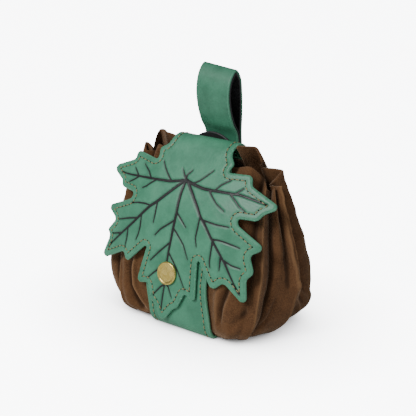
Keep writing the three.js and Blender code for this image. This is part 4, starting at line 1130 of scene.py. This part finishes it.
strap_width = 26.0
strap_thickness = 1.6
lining_thickness = 0.8
tab_thickness = 1.5
loop_height = 163.5
loop_lean = 1.0
loop_roll = 5.5
loop_belly = 10.0
tab_width = 44.0
tab_height = 119.5
tab_offset = -5.0
sewn_end = 92.0
turn_height = crown_height - 8
tab_standoff = 2 * clearance + tab_thickness
loop_stack = tab_standoff + clearance
loop_wall = strap_thickness + clearance + lining_thickness
loop_closed = 2 * loop_wall + clearance
loop_rows = [  # share of the depth from front to rear, share of the height above the tab
    (1.0, 0.0),
    (1.02, 0.3),
    (0.98, 0.62),
    (0.83, 0.88),
    (0.5, 1.0),
    (0.16, 0.89),
    (0.0, 0.66),
    (0.1, 0.4),
    (0.36, 0.16),
]


def behind_flap(height, standoff):
    """A place behind the flap's back at a height: square to the flap, straight up over the turn."""
    point, normal = flap_at(np.linspace(0, 0.5 * flap_length, 2001))
    allowed = (normal[:, 0] > 0) & (point[:, 1] < turn_height)
    k = np.where(allowed, np.abs(point[:, 1] - height), np.inf).argmin()
    y, z = point[k] + normal[k] * standoff
    return y, z + max(0.0, height - turn_height)


sewn = [sewn_end + share * (turn_height - sewn_end) for share in (0, 0.33, 0.67)]
front_y = behind_flap(turn_height, loop_stack)[0] - loop_belly
loop_depth = loop_belly + loop_closed
loop_at, loop_length = profile(
    [behind_flap(z, loop_stack + loop_closed) for z in sewn]
    + [(front_y + d * loop_depth, tab_height + u * (loop_height - tab_height)) for d, u in loop_rows]
    + [(front_y + loop_belly, tab_height)]
    + [behind_flap(z, loop_stack) for z in sewn[::-1]]
)


def place_on_loop(across, along, depth):
    """Points of the loop, rolled sideways and leaning more towards its top."""
    point, normal = loop_at(along)
    point = point + normal * depth[..., None]
    free = np.clip((point[..., 1] - crown_height) / (loop_height - crown_height), 0, 1)
    roll = np.radians(loop_roll) * free
    x = across * np.cos(roll) + loop_lean * free**2
    return np.stack([x, point[..., 0], point[..., 1] - across * np.sin(roll)], -1)


# A darker copy of the green leather for the belt loop: painted shade, because the loop lies in shadow.
shaded_strap_leather = leather("shaded_strap_leather", (0.038, 0.165, 0.095), (0.066, 0.25, 0.15), (0.1, 0.32, 0.2), 0.46)
strap = leather_strip(
    "strap",
    strap_width / 2,
    loop_length,
    strap_thickness,
    1.0,
    lambda x, y, d: place_on_loop(x, y, d - strap_thickness),
    shaded_strap_leather,
    step=0.8,
)
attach(strap, "root")
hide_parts("belt_loop")

# Lining of the belt loop: thin black leather glued inside the strap.

# The third colour, the paler edge, is a painted highlight along the cut edges.
black = (0.008, 0.008, 0.009), (0.018, 0.018, 0.02), (0.045, 0.045, 0.05)
black_leather = leather("black_leather", *black, 0.5)
lining = leather_strip(
    "lining",
    strap_width / 2,
    loop_length,
    lining_thickness,
    1.0,
    lambda x, y, d: place_on_loop(x, y, d - loop_wall),
    black_leather,
    step=0.8,
)
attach(lining, "root")
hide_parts("loop_lining")

# Anchor tab: black leather with a round top, sewn between the flap's back and the loop.

tab_at, tab_length = profile(
    [behind_flap(sewn_end + share * (turn_height - sewn_end), tab_standoff) for share in np.linspace(0, 1, 6)]
    + [(behind_flap(turn_height, tab_standoff)[0], tab_height)]
)


def place_on_tab(across, along, depth):
    """Points of the tab: the flat outline laid on its profile, to one side of the middle."""
    point, normal = tab_at(along)
    point = point + normal * (depth - tab_thickness)[..., None]
    return np.stack([across + tab_offset, point[..., 0], point[..., 1]], -1)


def round_topped(name, half_width, length, thickness, place, material):
    """A strip whose top is a half circle; each row is crowded towards its edges."""
    turn = np.linspace(0, np.pi / 2, 40)
    straight = length - half_width
    along = np.concatenate([np.linspace(0, straight, 30)[:-1], length - half_width * (1 - np.sin(turn))])
    over = np.maximum(0, along - straight)
    half = np.sqrt(np.maximum(half_width**2 - over**2, (0.02 * half_width) ** 2))
    across = crowded(-1, 1, 0.8 / half_width, 1.2 * thickness / half_width)
    x, y = across[None] * half[:, None], np.repeat(along[:, None], len(across), 1)
    round_gap = half_width - np.hypot(x, np.maximum(0, y - straight))
    gap = np.clip(np.minimum(round_gap, y), 0, None)
    return laid_sheet(name, x, y, gap, thickness, place, material)


tab = round_topped("tab_leather", tab_width / 2, tab_length, tab_thickness, place_on_tab, black_leather)
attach(tab, "root")
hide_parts("anchor_tab")

# Stage: a white paper sweep that glows as the overexposed one in the photo does, over a plain floor
# that throws soft light back up. A large soft lamp stands to the camera's left, a weak one to its right.
# The camera stands where the photo was taken from.

floor_reach = 4000.0


def flat_floor(name, height, material):
    """A wide flat square a little below the pouch."""
    square = np.array([(-1, -1), (1, -1), (1, 1), (-1, 1)]) * floor_reach
    corners = np.column_stack([square, np.full(4, height)])
    floor = mesh_object(name, corners, np.array([[0, 1, 2, 3]]), material)
    return floor


white = plain_material("floor_white", (0.9, 0.9, 0.9), Roughness=0.9)
bounce = flat_floor("floor_bounce", -0.05, white)
bounce.visible_camera = False
cool = (0.97, 0.98, 1.0, 1)
glowing = plain_material("paper_white", (0.95, 0.95, 0.95), Roughness=1.0, Emission_Color=cool)
tree = glowing.node_tree
# Painted contact shadow: the paper's glow is dimmed by ambient occlusion near the pouch.
painted_contact_shadow = node(tree, "AmbientOcclusion", {"Distance": 0.08}).outputs["AO"]
glow = calculated(tree, "MULTIPLY", calculated(tree, "POWER", painted_contact_shadow, 1.6), 8.5)
joined(glowing, Emission_Strength=glow)
paper = flat_floor("paper", -0.02, glowing)
paper.visible_diffuse = False
paper.visible_glossy = False
paper.visible_shadow = False

world = bpy.data.worlds.new("daylight")
world.use_nodes = True
world.node_tree.nodes["Background"].inputs["Color"].default_value = (1, 1, 1, 1)
world.node_tree.nodes["Background"].inputs["Strength"].default_value = 0.28
bpy.context.scene.world = world


def aimed(piece, position, target):
    """Places a lamp or the camera and points it at a target; lengths in metres."""
    piece.location = position
    piece.rotation_euler = (Vector(target) - Vector(position)).to_track_quat("-Z", "Y").to_euler()


def soft_lamp(name, position, size, power):
    lamp = bpy.data.lights.new(name, "AREA")
    lamp.size = size
    lamp.energy = power
    piece = bpy.data.objects.new(name, lamp)
    bpy.context.scene.collection.objects.link(piece)
    aimed(piece, position, (0, 0, 0.06))


soft_lamp("key_lamp", (-0.25, -1.0, 0.9), 0.45, 12.0)
soft_lamp("fill_lamp", (1.0, -0.3, 0.6), 0.8, 0.5)

azimuth, elevation, distance = np.radians(38.4), np.radians(18.2), 0.7
target = (np.array([-1.8, 0.0, 70.7]) + row_shift) * 0.001
level = np.cos(elevation)
back = np.array([np.sin(azimuth) * level, -np.cos(azimuth) * level, np.sin(elevation)])
camera = bpy.data.objects.new("camera", bpy.data.cameras.new("camera"))
bpy.context.scene.collection.objects.link(camera)
camera.data.lens = 92.9
camera.data.sensor_width = 36.0
aimed(camera, tuple(target + distance * back), tuple(target))
bpy.context.scene.camera = camera
